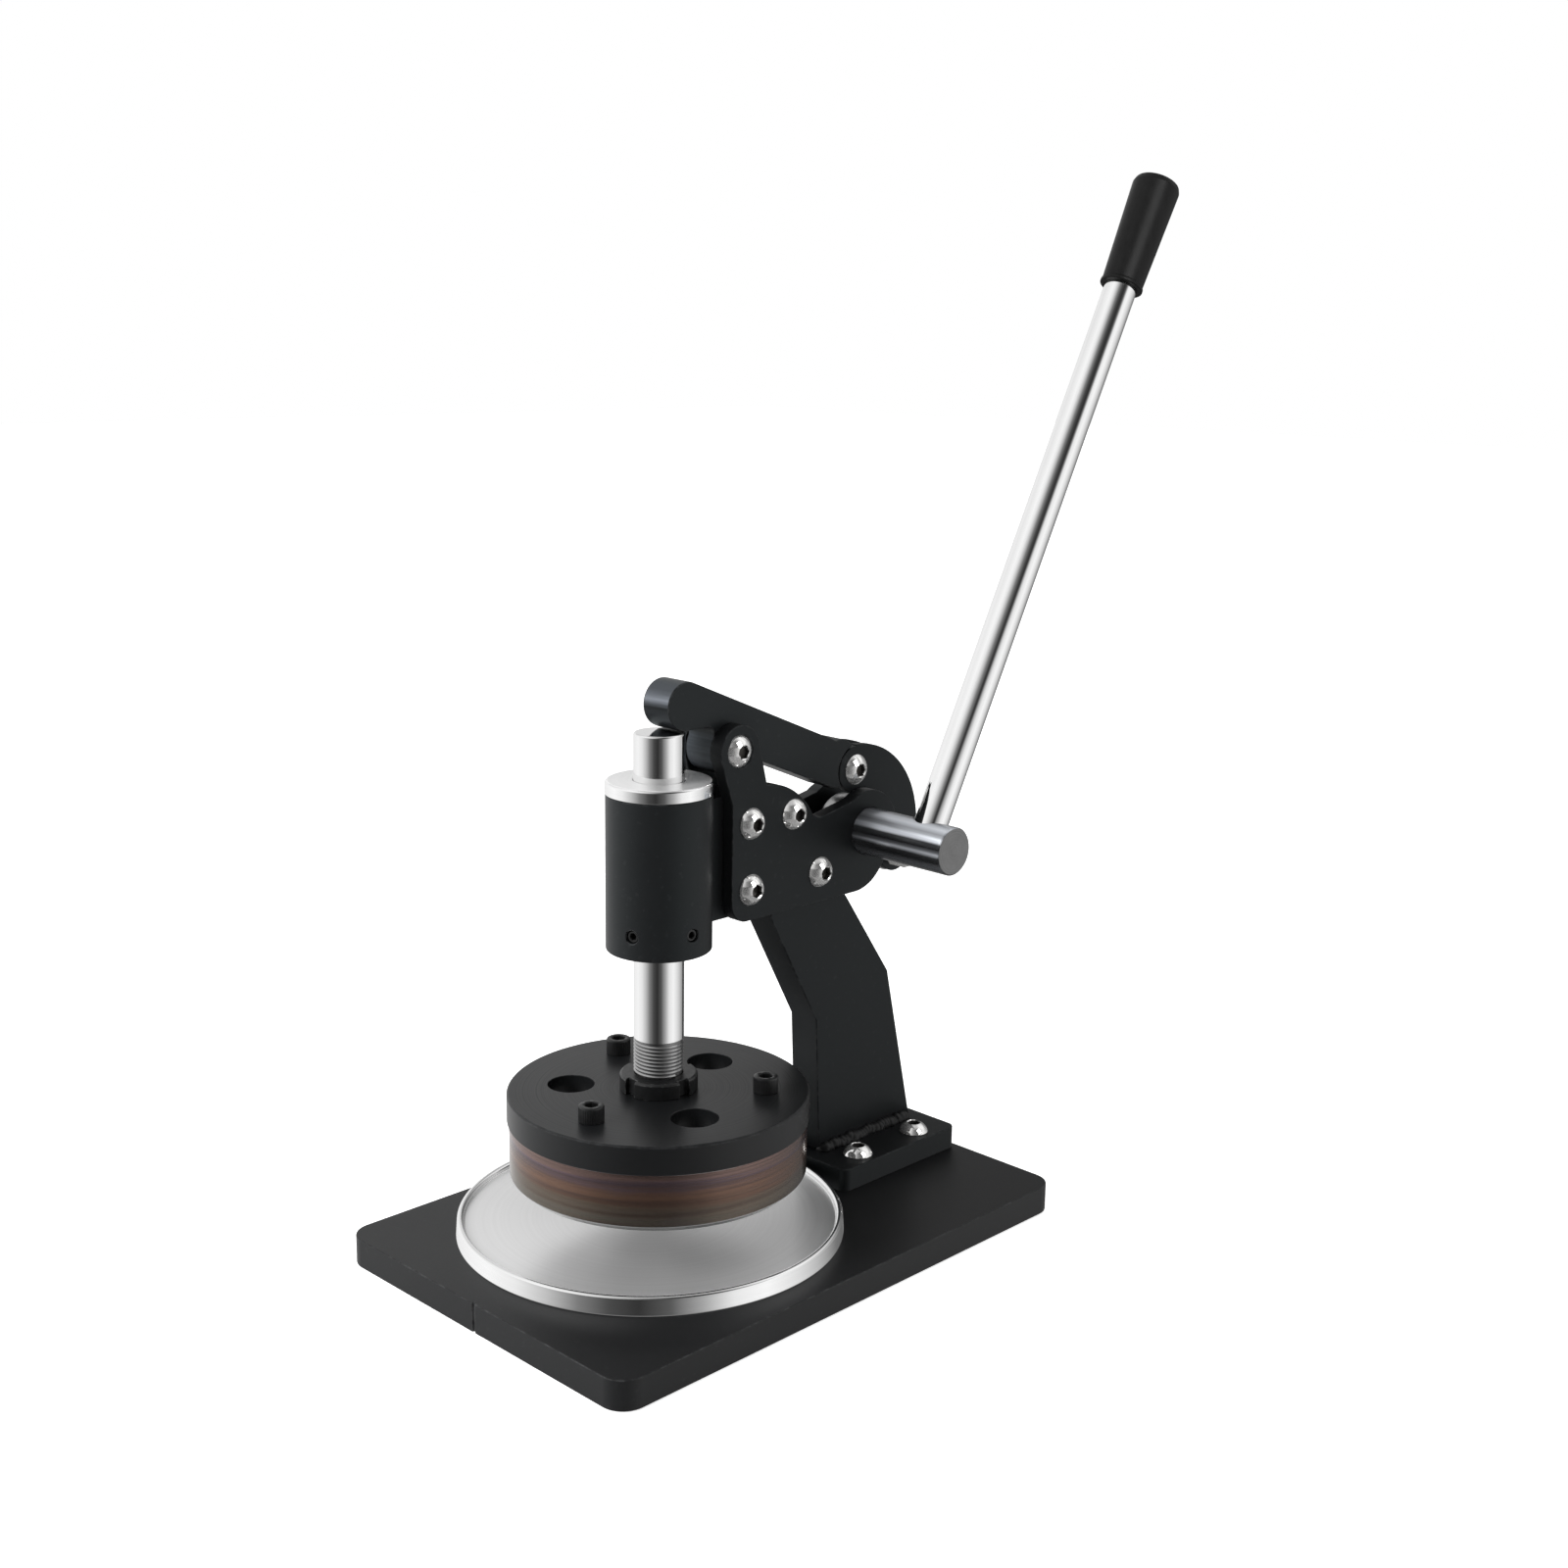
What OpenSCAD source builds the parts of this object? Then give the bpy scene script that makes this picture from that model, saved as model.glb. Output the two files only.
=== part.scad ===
// Circular sample cutter: a hand lever works a crank, links and a rocker that press a round blade down.
// Millimetres. +Z is up, +Y goes back to the post, +X is the side of the handle.
// The origin lies on the base plate's underside, straight below the rocker pivot.

/* [Base plate] */
// width from side to side
base_w = 167; // [140:1:200]
// length from front to back
base_l = 246; // [220:1:300]
// thickness of the plate
base_t = 12; // [8:0.5:20]
// length of the base behind the post's foot
base_margin = 2; // [0:0.5:40]
// radius of the four upright corners
base_corner_r = 10; // [4:0.5:20]
// width of the centre mark on the front edge
mark_w = 1.4; // [0.6:0.1:3]
// depth of the centre mark
mark_depth = 0.8; // [0.3:0.1:1.5]

/* [Cutting tray] */
// outside diameter of the tray
tray_d = 156; // [140:1:160]
// height of the tray's rim above the base
tray_h = 7.5; // [6:0.5:14]
// width of the raised lip
tray_lip_w = 3.2; // [2:0.1:6]
// height of the lip above the tray's floor
tray_lip_h = 2.2; // [1:0.1:4]
// how far the tray stands left of the ram, as photographed
tray_shift = 4.5; // [0:0.5:5]
// distance of the tray's screws from its middle
tray_screw_r = 52; // [35:1:60]
// shank diameter of the tray's screws
tray_screw_d = 6; // [4:0.5:8]

/* [Die and blade] */
// distance of the ram's axis in front of the rocker pivot
ram_forward = 30.4; // [20:0.2:40]
// height of the die plate's top face at rest
die_top_z = 72.5; // [66:0.5:84]
// how far the die plate stands out past the blade
die_lip = 0.8; // [0:0.1:3]
// thickness of the die plate
die_t = 11.5; // [8:0.5:14]
// diameter of the three push-out holes
push_hole_d = 18.6; // [10:0.2:22]
// distance of the push-out holes from the ram's axis
push_hole_r = 35; // [31:0.5:38]
// wall of the ring blade
blade_wall = 2.8; // [2:0.1:5]
// diameter that the blade cuts, 100 square centimetres
cut_d = 112.8; // [100:0.2:114]
// height of the blade below the die plate
blade_h = 23.2; // [16:0.2:30]
// height of the ground bevel at the cutting edge
bevel_h = 2.2; // [1:0.1:4]
// land left at the cutting edge
edge_land = 0.3; // [0.1:0.1:0.6]
// thickness of the blade's inner flange
flange_t = 5; // [4:0.5:8]
// inner radius of the blade's flange
flange_r = 36; // [32:0.5:40]
// distance of the blade's screws from the ram's axis
blade_screw_r = 42.5; // [42:0.5:48]
// shank diameter of the blade's screws
blade_screw_d = 6; // [4:0.5:8]
// head diameter of the blade's screws
blade_head_d = 10; // [8:0.5:12]
// head height of the blade's screws
blade_head_h = 6.5; // [4:0.5:8]
// direction of the first push-out hole, in degrees from the right
push_hole_turn = -19; // [-60:1:60]

/* [Ram] */
// diameter of the ram
ram_d = 20; // [16:0.5:22]
// chamfer on the ram's top edge
ram_chamfer = 1; // [0.5:0.1:2]
// length of the threaded end that shows above the die plate
thread_show = 21.4; // [14:0.2:30]
// outside diameter of the slotted lock nut
nut_d = 31; // [28:0.5:36]
// thickness of the lock nut
nut_t = 6.8; // [5:0.2:10]
// width of the lock nut's slots
nut_slot_w = 5; // [3:0.2:7]
// depth of the lock nut's slots
nut_slot_depth = 2.2; // [1:0.1:3]

/* [Guide sleeve] */
// outside diameter of the guide sleeve
sleeve_d = 41.6; // [40:0.2:48]
// inside diameter of the guide sleeve
sleeve_bore = 32; // [30:0.5:34]
// distance of the sleeve's lower end below the handle shaft
sleeve_drop = 31.3; // [26:0.1:42]
// length of the sleeve
sleeve_l = 62; // [56:0.5:70]
// thickness of the upper bush's flange
bush_flange_t = 5.2; // [3:0.2:6]
// length of the upper bush inside the sleeve
bush_spigot_l = 6; // [4:0.5:8]
// length of the lower bush
low_bush_l = 18; // [12:0.5:22]
// diameter of the sleeve's set screws
set_screw_d = 5; // [4:0.5:6]
// height of the set screws above the sleeve's lower end
set_screw_up = 9.5; // [5:0.5:12]
// thickness of the spring collar on the ram
collar_t = 6; // [4:0.5:8]
// diameter of the spring collar
collar_d = 30; // [28:0.5:31]
// wire diameter of the return spring
spring_wire = 2.2; // [1.5:0.1:2.6]
// middle diameter of the return spring's coils
spring_d = 26; // [24.5:0.1:27]
// number of coils in the return spring
spring_turns = 5.5; // [4:0.5:6]

/* [Post and foot] */
// thickness of the post, the rib and all that turns between the side plates
core_t = 15; // [14:0.5:18]
// width of the foot flange
foot_w = 59; // [50:1:70]
// thickness of the foot flange
foot_t = 10; // [8:0.5:14]
// front end of the foot flange
foot_front_y = 48.2; // [48:0.1:52]
// back end of the foot flange
foot_back_y = 121; // [116:0.5:122]
// radius of the foot flange's upright corners
foot_corner_r = 4; // [1:0.5:6]
// distance between the foot's two screw rows across
foot_screw_gap = 41; // [36:0.5:45]
// place of the foot's front screws
foot_screw_front_y = 66; // [60:0.5:75]
// place of the foot's back screws
foot_screw_back_y = 102.5; // [95:0.5:108]
// leg length of the weld between post and foot
weld_leg = 4; // [2:0.5:6]

/* [Side plates] */
// thickness of each side plate
plate_t = 6; // [4:0.5:8]
// front edge of the plates
plate_front_y = -4; // [-6:0.5:0]
// distance of the plates' bottom edge below the handle shaft
plate_drop = 25.1; // [23:0.1:28]
// radius of the lobe round the rocker pivot
pivot_lobe_r = 10.5; // [9:0.5:12]
// radius of the lobe round the handle shaft
shaft_lobe_r = 17.5; // [15:0.5:18]
// shank diameter of the plate and foot screws
screw_d = 8; // [6:0.5:8]
// head diameter of the plate and foot screws
screw_head_d = 13; // [11:0.5:14]
// head height of the plate and foot screws
screw_head_h = 4.6; // [3:0.1:5]

/* [Linkage] */
// height of the rocker pivot above the handle shaft
pivot_rise = 44.5; // [42:0.1:46]
// diameter of the rocker pivot
pivot_d = 10; // [8:0.5:10]
// place of the rocker's nose in front of its pivot
nose_reach = 22.8; // [20:0.1:26]
// height of the nose's middle above the pivot
nose_rise = 19.8; // [18:0.1:21]
// radius of the nose that presses the ram
nose_r = 9.5; // [8:0.1:11]
// distance of the upper link pin behind the pivot
link_pin_back = 73.6; // [72:0.1:75]
// distance of the upper link pin below the pivot
link_pin_drop = 18.9; // [18:0.1:20]
// radius of the link's eyes
link_eye_r = 10; // [8.5:0.1:10.5]
// thickness of each link
link_t = 3.5; // [3:0.1:4]
// diameter of the two link pins
link_pin_d = 8; // [6:0.5:8]
// head diameter of the link pins and the rocker pivot
pin_head_d = 13; // [10:0.5:14]
// outer radius of the link's bow
link_bow_r = 39.8; // [39:0.2:42]

/* [Handle] */
// distance of the handle shaft behind the rocker pivot
shaft_y = 75.5; // [74:0.1:77]
// height of the handle shaft, which the whole press head follows
shaft_z = 161.8; // [145:0.1:200]
// diameter of the handle shaft
shaft_d = 20; // [16:0.5:20]
// outer end of the handle shaft
shaft_end_x = 60; // [52:0.5:70]
// distance of the crank pin behind the shaft
crank_back = 24.5; // [23:0.1:26]
// distance of the crank pin below the shaft
crank_drop = 12.8; // [12:0.1:14]
// radius of the crank's hub
crank_hub_r = 13.5; // [12:0.1:14]
// radius of the crank's eye
crank_eye_r = 10.4; // [10:0.1:11]
// room that the crank's eye leaves round its pin
crank_eye_room = 3.2; // [3:0.1:3.5]
// width of the crank's key
key_w = 5; // [3:0.5:6]
// diameter of the handle rod
rod_d = 14; // [10:0.5:15]
// place of the rod along the shaft
rod_x = 43.8; // [40:0.2:50]
// lean of the handle to the back, in degrees
handle_lean = 27.8; // [10:0.2:40]
// length of the handle from the shaft's axis to its tip
handle_l = 303; // [220:1:340]
// length of the grip
grip_l = 50; // [40:1:110]
// diameter of the grip at its tip
grip_top_d = 20.6; // [17:0.2:26]
// diameter of the grip at its lower end
grip_low_d = 17.6; // [16.4:0.2:22]

/* [Fits] */
// room all round a turning or sliding fit
run_clear = 0.05; // [0.02:0.01:0.1]
// room all round a screw in a plain hole
screw_clear = 0.2; // [0.1:0.05:0.4]
// room between parts that pass each other
side_clear = 0.25; // [0.2:0.05:0.4]
// room between the nose and the ram
nose_gap = 0.35; // [0.3:0.05:0.6]

/* [Hidden] */
$fn = 64;

steel = [0.78, 0.78, 0.80];
black = [0.12, 0.12, 0.13];
tinted = [0.36, 0.27, 0.25];
bronze = [0.62, 0.50, 0.30];

// Overrun of a cut past the face that it leaves
over = 1;
// Straight runs end this far inside the round ends that they join
tuck = 0.02;
ram_y = -ram_forward;
base_back_y = foot_back_y + base_margin;
base_front_y = base_back_y - base_l;
blade_d = cut_d + 2 * blade_wall;
die_d = blade_d + 2 * die_lip;
foot_top_z = base_t + foot_t;
sleeve_low_z = shaft_z - sleeve_drop;
sleeve_top_z = sleeve_low_z + sleeve_l;
plate_low_z = shaft_z - plate_drop;
pivot_z = shaft_z + pivot_rise;
core_half = core_t / 2;
moving_half = core_half - side_clear;
link_inner = moving_half - link_t;
tongue_half = link_inner - side_clear;
plate_outer = core_half + plate_t;

// Points of the linkage, as [y, z]
pivot = [0, pivot_z];
nose = [-nose_reach, pivot_z + nose_rise];
link_top = [link_pin_back, pivot_z - link_pin_drop];
shaft_axis = [shaft_y, shaft_z];
crank_point = [shaft_y + crank_back, shaft_z - crank_drop];
ram_top_z = nose[1] - nose_r - nose_gap;

// Screws through the side plates: two in the sleeve's rib, two in the post
screw_drop = 12.3;
screw_rise = 14.7;
plate_screw_low_z = shaft_z - screw_drop;
plate_screw_high_z = shaft_z + screw_rise;
rib_screw_y = 6.4;
post_screw_front_y = 30.2;
post_screw_back_y = 46.2;
plate_screw_points = [[rib_screw_y, plate_screw_high_z], [rib_screw_y, plate_screw_low_z],
    [post_screw_front_y, plate_screw_high_z], [post_screw_back_y, plate_screw_low_z]];

// Directions of the die plate's holes and screws
hole_turns = [for (i = [0:2]) push_hole_turn + 120 * i];
screw_turns = [for (turn = hole_turns) turn + 60];
tray_screw_turns = [for (i = [0:2]) 90 + 120 * i];
set_screw_turns = [-72, -3];

// Extrudes an outline drawn in [y, z] from x = low to x = high
module slab(low, high)
    translate([low, 0, 0])
        rotate([90, 0, 90])
            linear_extrude(high - low)
                children();

// A rod along X through the point [y, z]
module cross_rod(point, d, low, high)
    translate([low, point[0], point[1]])
        rotate([0, 90, 0])
            cylinder(d = d, h = high - low);

// Outline of two round ends joined by their outer tangents
module tangent_bar(a, ra, b, rb) {
    run = b - a;
    heading = atan2(run[1], run[0]);
    spread = acos((ra - rb) / norm(run));
    function rim(c, r, turn) = c + (r - tuck) * [cos(turn), sin(turn)];
    translate(a)
        circle(ra);
    translate(b)
        circle(rb);
    polygon([rim(a, ra, heading - spread), rim(b, rb, heading - spread),
        rim(b, rb, heading + spread), rim(a, ra, heading + spread)]);
}

// A domed socket screw, head up, its seat at z = 0
module button_screw(d, length, head_d, head_h) {
    head_r = head_d / 2;
    dome_r = (head_r * head_r + head_h * head_h) / (2 * head_h);
    socket_d = head_d * 0.44;
    translate([0, 0, -length])
        cylinder(d = d, h = length + head_h / 4);
    difference() {
        intersection() {
            cylinder(r = head_r, h = head_h);
            translate([0, 0, head_h - dome_r])
                sphere(dome_r, $fn = 96);
        }
        translate([0, 0, head_h / 2])
            cylinder(d = socket_d, h = head_h, $fn = 6);
    }
}

// A cylindrical socket screw, head up, its seat at z = 0
module cap_screw(d, length, head_d, head_h) {
    edge = head_h * 0.08;
    socket_d = head_d * 0.58;
    translate([0, 0, -length])
        cylinder(d = d, h = length + head_h / 4);
    difference() {
        union() {
            cylinder(d = head_d, h = head_h - edge);
            translate([0, 0, head_h - edge])
                cylinder(d1 = head_d, d2 = head_d - 2 * edge, h = edge);
        }
        translate([0, 0, head_h / 2])
            cylinder(d = socket_d, h = head_h, $fn = 6);
    }
}

// A hexagon nut with its bore, seat at z = 0
module hex_nut(flats, height, bore) {
    difference() {
        intersection() {
            cylinder(d = flats / cos(30), h = height, $fn = 6);
            cylinder(d1 = flats + height, d2 = flats * 0.98, h = height);
        }
        translate([0, 0, -over])
            cylinder(d = bore, h = height + 2 * over);
    }
}

// Carries children to every [y, z] point of a side plate's outer face
module at_plate_points(points, side)
    for (point = points)
        translate([side * plate_outer, point[0], point[1]])
            rotate([0, 90 * side, 0])
                children();

// Carries children round the ram's axis
module round_ram(turns, radius, z)
    for (turn = turns)
        translate([0, ram_y, z])
            rotate(turn)
                translate([radius, 0, 0])
                    children();

// Base plate and tray

// A plate with round corners, its front edge at y = 0
module rounded_plate(w, l, t, r) {
    translate([-w / 2 + r, 0, 0])
        cube([w - 2 * r, l, t]);
    translate([-w / 2, r, 0])
        cube([w, l - 2 * r, t]);
    for (x = [-1, 1], y = [r, l - r])
        translate([x * (w / 2 - r), y, 0])
            cylinder(r = r, h = t);
}

tray_x = -tray_shift;
tray_top_z = base_t + tray_h;
tray_floor_z = tray_top_z - tray_lip_h;
tray_skin = 1.5;
tray_screw_up = tray_floor_z - base_t - tray_skin;
tray_head_d = tray_screw_d * 10 / 6;
tray_head_h = tray_screw_d;
tray_recess = 0.5;
tray_sink = tray_head_h + tray_recess;

module at_tray_screws(z)
    for (turn = tray_screw_turns)
        translate([tray_x, ram_y, z])
            rotate(turn)
                translate([tray_screw_r, 0, 0])
                    children();

module at_foot_screws(z)
    for (x = [-1, 1], y = [foot_screw_front_y, foot_screw_back_y])
        translate([x * foot_screw_gap / 2, y, z])
            children();

module base_plate() {
    color(black)
        difference() {
            translate([0, base_front_y, 0])
                rounded_plate(base_w, base_l, base_t, base_corner_r);
            translate([-mark_w / 2, base_front_y - over, -over])
                cube([mark_w, mark_depth + over, base_t + 2 * over]);
            at_foot_screws(-over)
                cylinder(d = screw_d + 2 * run_clear, h = base_t + 2 * over);
            at_tray_screws(-over)
                cylinder(d = tray_screw_d + 2 * screw_clear, h = base_t + 2 * over);
            at_tray_screws(-over)
                cylinder(d = tray_head_d + 2 * screw_clear, h = tray_sink + over);
        }
}

module cutting_tray() {
    r = tray_d / 2;
    lip_r = tray_lip_w / 2;
    color(steel)
        difference() {
            translate([tray_x, ram_y, base_t])
                rotate_extrude($fn = 128) {
                    square([r, tray_h - tray_lip_h]);
                    translate([r - tray_lip_w, 0])
                        square([tray_lip_w, tray_h - lip_r]);
                    translate([r - lip_r, tray_h - lip_r])
                        circle(lip_r);
                }
            at_tray_screws(base_t - over)
                cylinder(d = tray_screw_d + 2 * run_clear, h = tray_screw_up + over);
        }
}

module tray_screws() {
    color(steel)
        at_tray_screws(tray_sink)
            rotate([180, 0, 0])
                cap_screw(tray_screw_d, base_t - tray_sink + tray_screw_up - side_clear,
                    tray_head_d, tray_head_h);
}

// Post and foot

post_front = [55.6, 52.3, 24.3];
post_front_drop = [79.8, 29.4];
post_front_z = [foot_top_z, shaft_z - post_front_drop[0], shaft_z - post_front_drop[1]];
post_back = [114.5, 97, 69.6];
post_back_drop = [67.4, 28.8];
post_back_z = [foot_top_z, shaft_z - post_back_drop[0], shaft_z - post_back_drop[1]];
post_head_r = 9;

module post_outline() {
    front_pin = plate_screw_points[2];
    back_pin = plate_screw_points[3];
    half = post_head_r - tuck;
    polygon([[post_back[0], post_back_z[0]], [post_back[1], post_back_z[1]],
        [post_back[2], post_back_z[2]], back_pin + [post_head_r, 0],
        front_pin + [half, 0], front_pin - [half, 0], [post_front[2], post_front_z[2]],
        [post_front[1], post_front_z[1]], [post_front[0], post_front_z[0]]]);
    translate(front_pin)
        circle(post_head_r);
}

module post() {
    color(black)
        difference() {
            slab(-core_half, core_half)
                post_outline();
            for (i = [2, 3])
                cross_rod(plate_screw_points[i], screw_d + 2 * screw_clear,
                    -core_half - over, core_half + over);
        }
}

module post_foot() {
    color(black)
        difference() {
            translate([0, foot_front_y, base_t])
                rounded_plate(foot_w, foot_back_y - foot_front_y, foot_t, foot_corner_r);
            at_foot_screws(base_t - over)
                cylinder(d = screw_d + 2 * screw_clear, h = foot_t + 2 * over);
        }
}

// Two fillet welds between post and foot, round on the outside
module weld_beads() {
    length = post_back[0] - post_front[0];
    color(black)
        for (side = [-1, 1])
            intersection() {
                translate([side * core_half, post_front[0], foot_top_z])
                    rotate([-90, 0, 0])
                        cylinder(r = weld_leg, h = length);
                translate([side > 0 ? core_half : -core_half - weld_leg, post_front[0], foot_top_z])
                    cube([weld_leg, length, weld_leg]);
            }
}

module foot_screws() {
    tip_room = 2;
    color(steel)
        at_foot_screws(foot_top_z)
            button_screw(screw_d, foot_t + base_t - tip_room, screw_head_d, screw_head_h);
}

// Side plates

pin_sink = 1;
neck_y = 5.8;
neck_rise = 25.2;
neck_point = [neck_y, shaft_z + neck_rise];
neck_r = neck_point[0] - plate_front_y;
front_corner_r = 8.5;
front_corner = [plate_front_y + front_corner_r, plate_low_z + front_corner_r];
back_corner_r = 19.6;
back_corner_y = 68;
back_corner = [back_corner_y, plate_low_z + back_corner_r];
shoulder_r = 33;
shoulder_y = 13;
shoulder_drop = 3.8;
shoulder = [shoulder_y, shaft_z - shoulder_drop];
plate_back_rise = 15.2;
saddle_z = shaft_z + plate_back_rise;
saddle_r = 7.6;
saddle_y = 46.5;
saddle_rise = 18.5;
saddle = [saddle_y, shaft_z + saddle_rise];
flank_run = [36, 7];

module plate_outline() {
    front = plate_front_y + tuck;
    low = plate_low_z + tuck;
    tangent_bar(pivot, pivot_lobe_r, neck_point, neck_r);
    translate(shaft_axis)
        circle(shaft_lobe_r);
    translate(front_corner)
        circle(front_corner_r);
    translate(back_corner)
        circle(back_corner_r);
    // the shoulder behind the neck
    intersection() {
        translate(shoulder)
            circle(shoulder_r);
        translate([neck_point[0], plate_screw_low_z])
            square([shoulder_r + shoulder[0], shoulder_r * 2]);
    }
    // the body, from the front edge to the shaft's lobe, less the saddle and its sloping flank
    difference() {
        polygon([[front_corner[0], low], [back_corner[0], low],
            [shaft_y, back_corner[1]], [shaft_y, saddle_z],
            [shoulder[0], saddle_z], [shoulder[0], neck_point[1]],
            [front, neck_point[1]], [front, front_corner[1]]]);
        tangent_bar(saddle, saddle_r, saddle + flank_run, saddle_r);
    }
}

module side_plate(side) {
    low = side > 0 ? core_half : -plate_outer;
    color(black)
        difference() {
            slab(low, low + plate_t)
                plate_outline();
            for (point = plate_screw_points)
                cross_rod(point, screw_d + 2 * screw_clear, low - over, low + plate_t + over);
            cross_rod(pivot, pivot_d + 2 * run_clear, low - over, low + plate_t + over);
            cross_rod(shaft_axis, shaft_d + 2 * run_clear, low - over, low + plate_t + over);
            if (side > 0)
                cross_rod(pivot, pin_head_d + 2 * screw_clear, plate_outer - pin_sink, plate_outer + over);
        }
}

module right_side_plate()
    side_plate(1);

module left_side_plate()
    side_plate(-1);

plate_nut_flats = screw_d * 13 / 8;
plate_nut_h = screw_d * 0.8;

module plate_screws() {
    color(steel)
        at_plate_points(plate_screw_points, 1)
            button_screw(screw_d, 2 * plate_outer + plate_nut_h, screw_head_d, screw_head_h);
}

module plate_nuts() {
    color(steel)
        at_plate_points(plate_screw_points, -1)
            hex_nut(plate_nut_flats, plate_nut_h, screw_d + 2 * run_clear);
}

// Guide sleeve with its rib and bushes

rib_back_y = 16;
rib_drop = 23.8;
rib_rise = 26.2;
rib_low_z = shaft_z - rib_drop;
rib_high_z = shaft_z + rib_rise;
bush_overhang = 0.2;

module sleeve_rib() {
    color(black)
        difference() {
            translate([-core_half, ram_y, rib_low_z])
                cube([core_t, rib_back_y - ram_y, rib_high_z - rib_low_z]);
            translate([0, ram_y, rib_low_z - over])
                cylinder(d = sleeve_d, h = rib_high_z - rib_low_z + 2 * over);
            for (i = [0, 1])
                cross_rod(plate_screw_points[i], screw_d + 2 * screw_clear,
                    -core_half - over, core_half + over);
        }
}

set_screw_z = sleeve_low_z + set_screw_up;
set_screw_sink = 1;
set_screw_in = 2;

// Carries children to the sleeve's set screws, pointing out along X
module at_set_screws(radius)
    round_ram(set_screw_turns, radius, set_screw_z)
        rotate([0, 90, 0])
            children();

module guide_sleeve() {
    color(black)
        difference() {
            translate([0, ram_y, sleeve_low_z])
                cylinder(d = sleeve_d, h = sleeve_l);
            translate([0, ram_y, sleeve_low_z - over])
                cylinder(d = sleeve_bore, h = sleeve_l + 2 * over);
            at_set_screws(0)
                cylinder(d = set_screw_d + 2 * run_clear, h = sleeve_d);
        }
}

module upper_bush() {
    color(steel)
        difference() {
            translate([0, ram_y, sleeve_top_z])
                union() {
                    cylinder(d = sleeve_d + 2 * bush_overhang, h = bush_flange_t);
                    translate([0, 0, -bush_spigot_l])
                        cylinder(d = sleeve_bore - 2 * run_clear, h = bush_spigot_l);
                }
            translate([0, ram_y, sleeve_top_z - bush_spigot_l - over])
                cylinder(d = ram_d + 2 * run_clear, h = bush_flange_t + bush_spigot_l + 2 * over);
        }
}

module lower_bush() {
    color(bronze)
        difference() {
            translate([0, ram_y, sleeve_low_z])
                cylinder(d = sleeve_bore - 2 * run_clear, h = low_bush_l);
            translate([0, ram_y, sleeve_low_z - over])
                cylinder(d = ram_d + 2 * run_clear, h = low_bush_l + 2 * over);
            at_set_screws(sleeve_bore / 2 - set_screw_in)
                cylinder(d = set_screw_d + 2 * run_clear, h = sleeve_d);
        }
}

module sleeve_set_screws() {
    start = sleeve_bore / 2 - set_screw_in + run_clear;
    length = sleeve_d / 2 - set_screw_sink - start;
    socket_depth = length / 2;
    color(black)
        at_set_screws(start)
            difference() {
                cylinder(d = set_screw_d, h = length);
                translate([0, 0, length - socket_depth])
                    cylinder(d = set_screw_d / 2, h = length, $fn = 6);
            }
}

collar_top_z = sleeve_top_z - bush_spigot_l - side_clear;
spring_low_z = sleeve_low_z + low_bush_l + run_clear;
spring_high_z = collar_top_z - collar_t - run_clear;
spring_rings = 8;
spring_sides = 6;

// Middle of the wire at ring i of count: the coils lie closer at both ends
function spring_middle(i, count) =
    let (share = i / count)
    let (turn = 360 * spring_turns * share)
    let (rise = spring_high_z - spring_low_z - spring_wire)
    let (eased = share < 0.5 ? 2 * share * share : 1 - 2 * (1 - share) * (1 - share))
    let (z = spring_low_z + spring_wire / 2 + rise * (0.6 * share + 0.4 * eased))
    [spring_d / 2 * cos(turn), spring_d / 2 * sin(turn), z];

// Ring of points round the wire's middle
function spring_ring(i, count) =
    let (middle = spring_middle(i, count))
    let (out = [middle[0], middle[1], 0] / (spring_d / 2))
    [for (k = [0:spring_sides - 1])
        let (a = 360 * k / spring_sides + 90)
        middle + spring_wire / 2 * (cos(a) * out + [0, 0, sin(a)])];

module return_spring() {
    count = round(spring_turns * spring_rings);
    points = [for (i = [0:count]) each spring_ring(i, count)];
    function corner(i, k) = i * spring_sides + k % spring_sides;
    walls = [for (i = [0:count - 1], k = [0:spring_sides - 1])
        each [[corner(i, k), corner(i + 1, k), corner(i + 1, k + 1)],
            [corner(i, k), corner(i + 1, k + 1), corner(i, k + 1)]]];
    caps = [for (k = [1:spring_sides - 2])
        each [[corner(0, 0), corner(0, k), corner(0, k + 1)],
            [corner(count, 0), corner(count, k + 1), corner(count, k)]]];
    color(steel)
        translate([0, ram_y, 0])
            polyhedron(points, concat(walls, caps));
    gaps = [for (i = [0:count - spring_rings])
        norm(spring_middle(i + spring_rings, count) - spring_middle(i, count)) - spring_wire];
    echo(least_spring_gap = min(gaps));
}

// Ram, die and blade

thread_top_z = die_top_z + thread_show;
die_low_z = die_top_z - die_t;
thread_root = 0.4;

module ram() {
    color(steel)
        translate([0, ram_y, 0]) {
            translate([0, 0, thread_top_z])
                cylinder(d = ram_d, h = ram_top_z - ram_chamfer - thread_top_z);
            translate([0, 0, ram_top_z - ram_chamfer])
                cylinder(d1 = ram_d, d2 = ram_d - 2 * ram_chamfer, h = ram_chamfer);
            translate([0, 0, die_low_z])
                cylinder(d = ram_d - 2 * thread_root, h = thread_top_z - die_low_z);
        }
}

module ram_collar() {
    color(steel)
        translate([0, ram_y, collar_top_z - collar_t])
            difference() {
                cylinder(d = collar_d, h = collar_t);
                translate([0, 0, -over])
                    cylinder(d = ram_d + 2 * run_clear, h = collar_t + 2 * over);
            }
}

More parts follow.
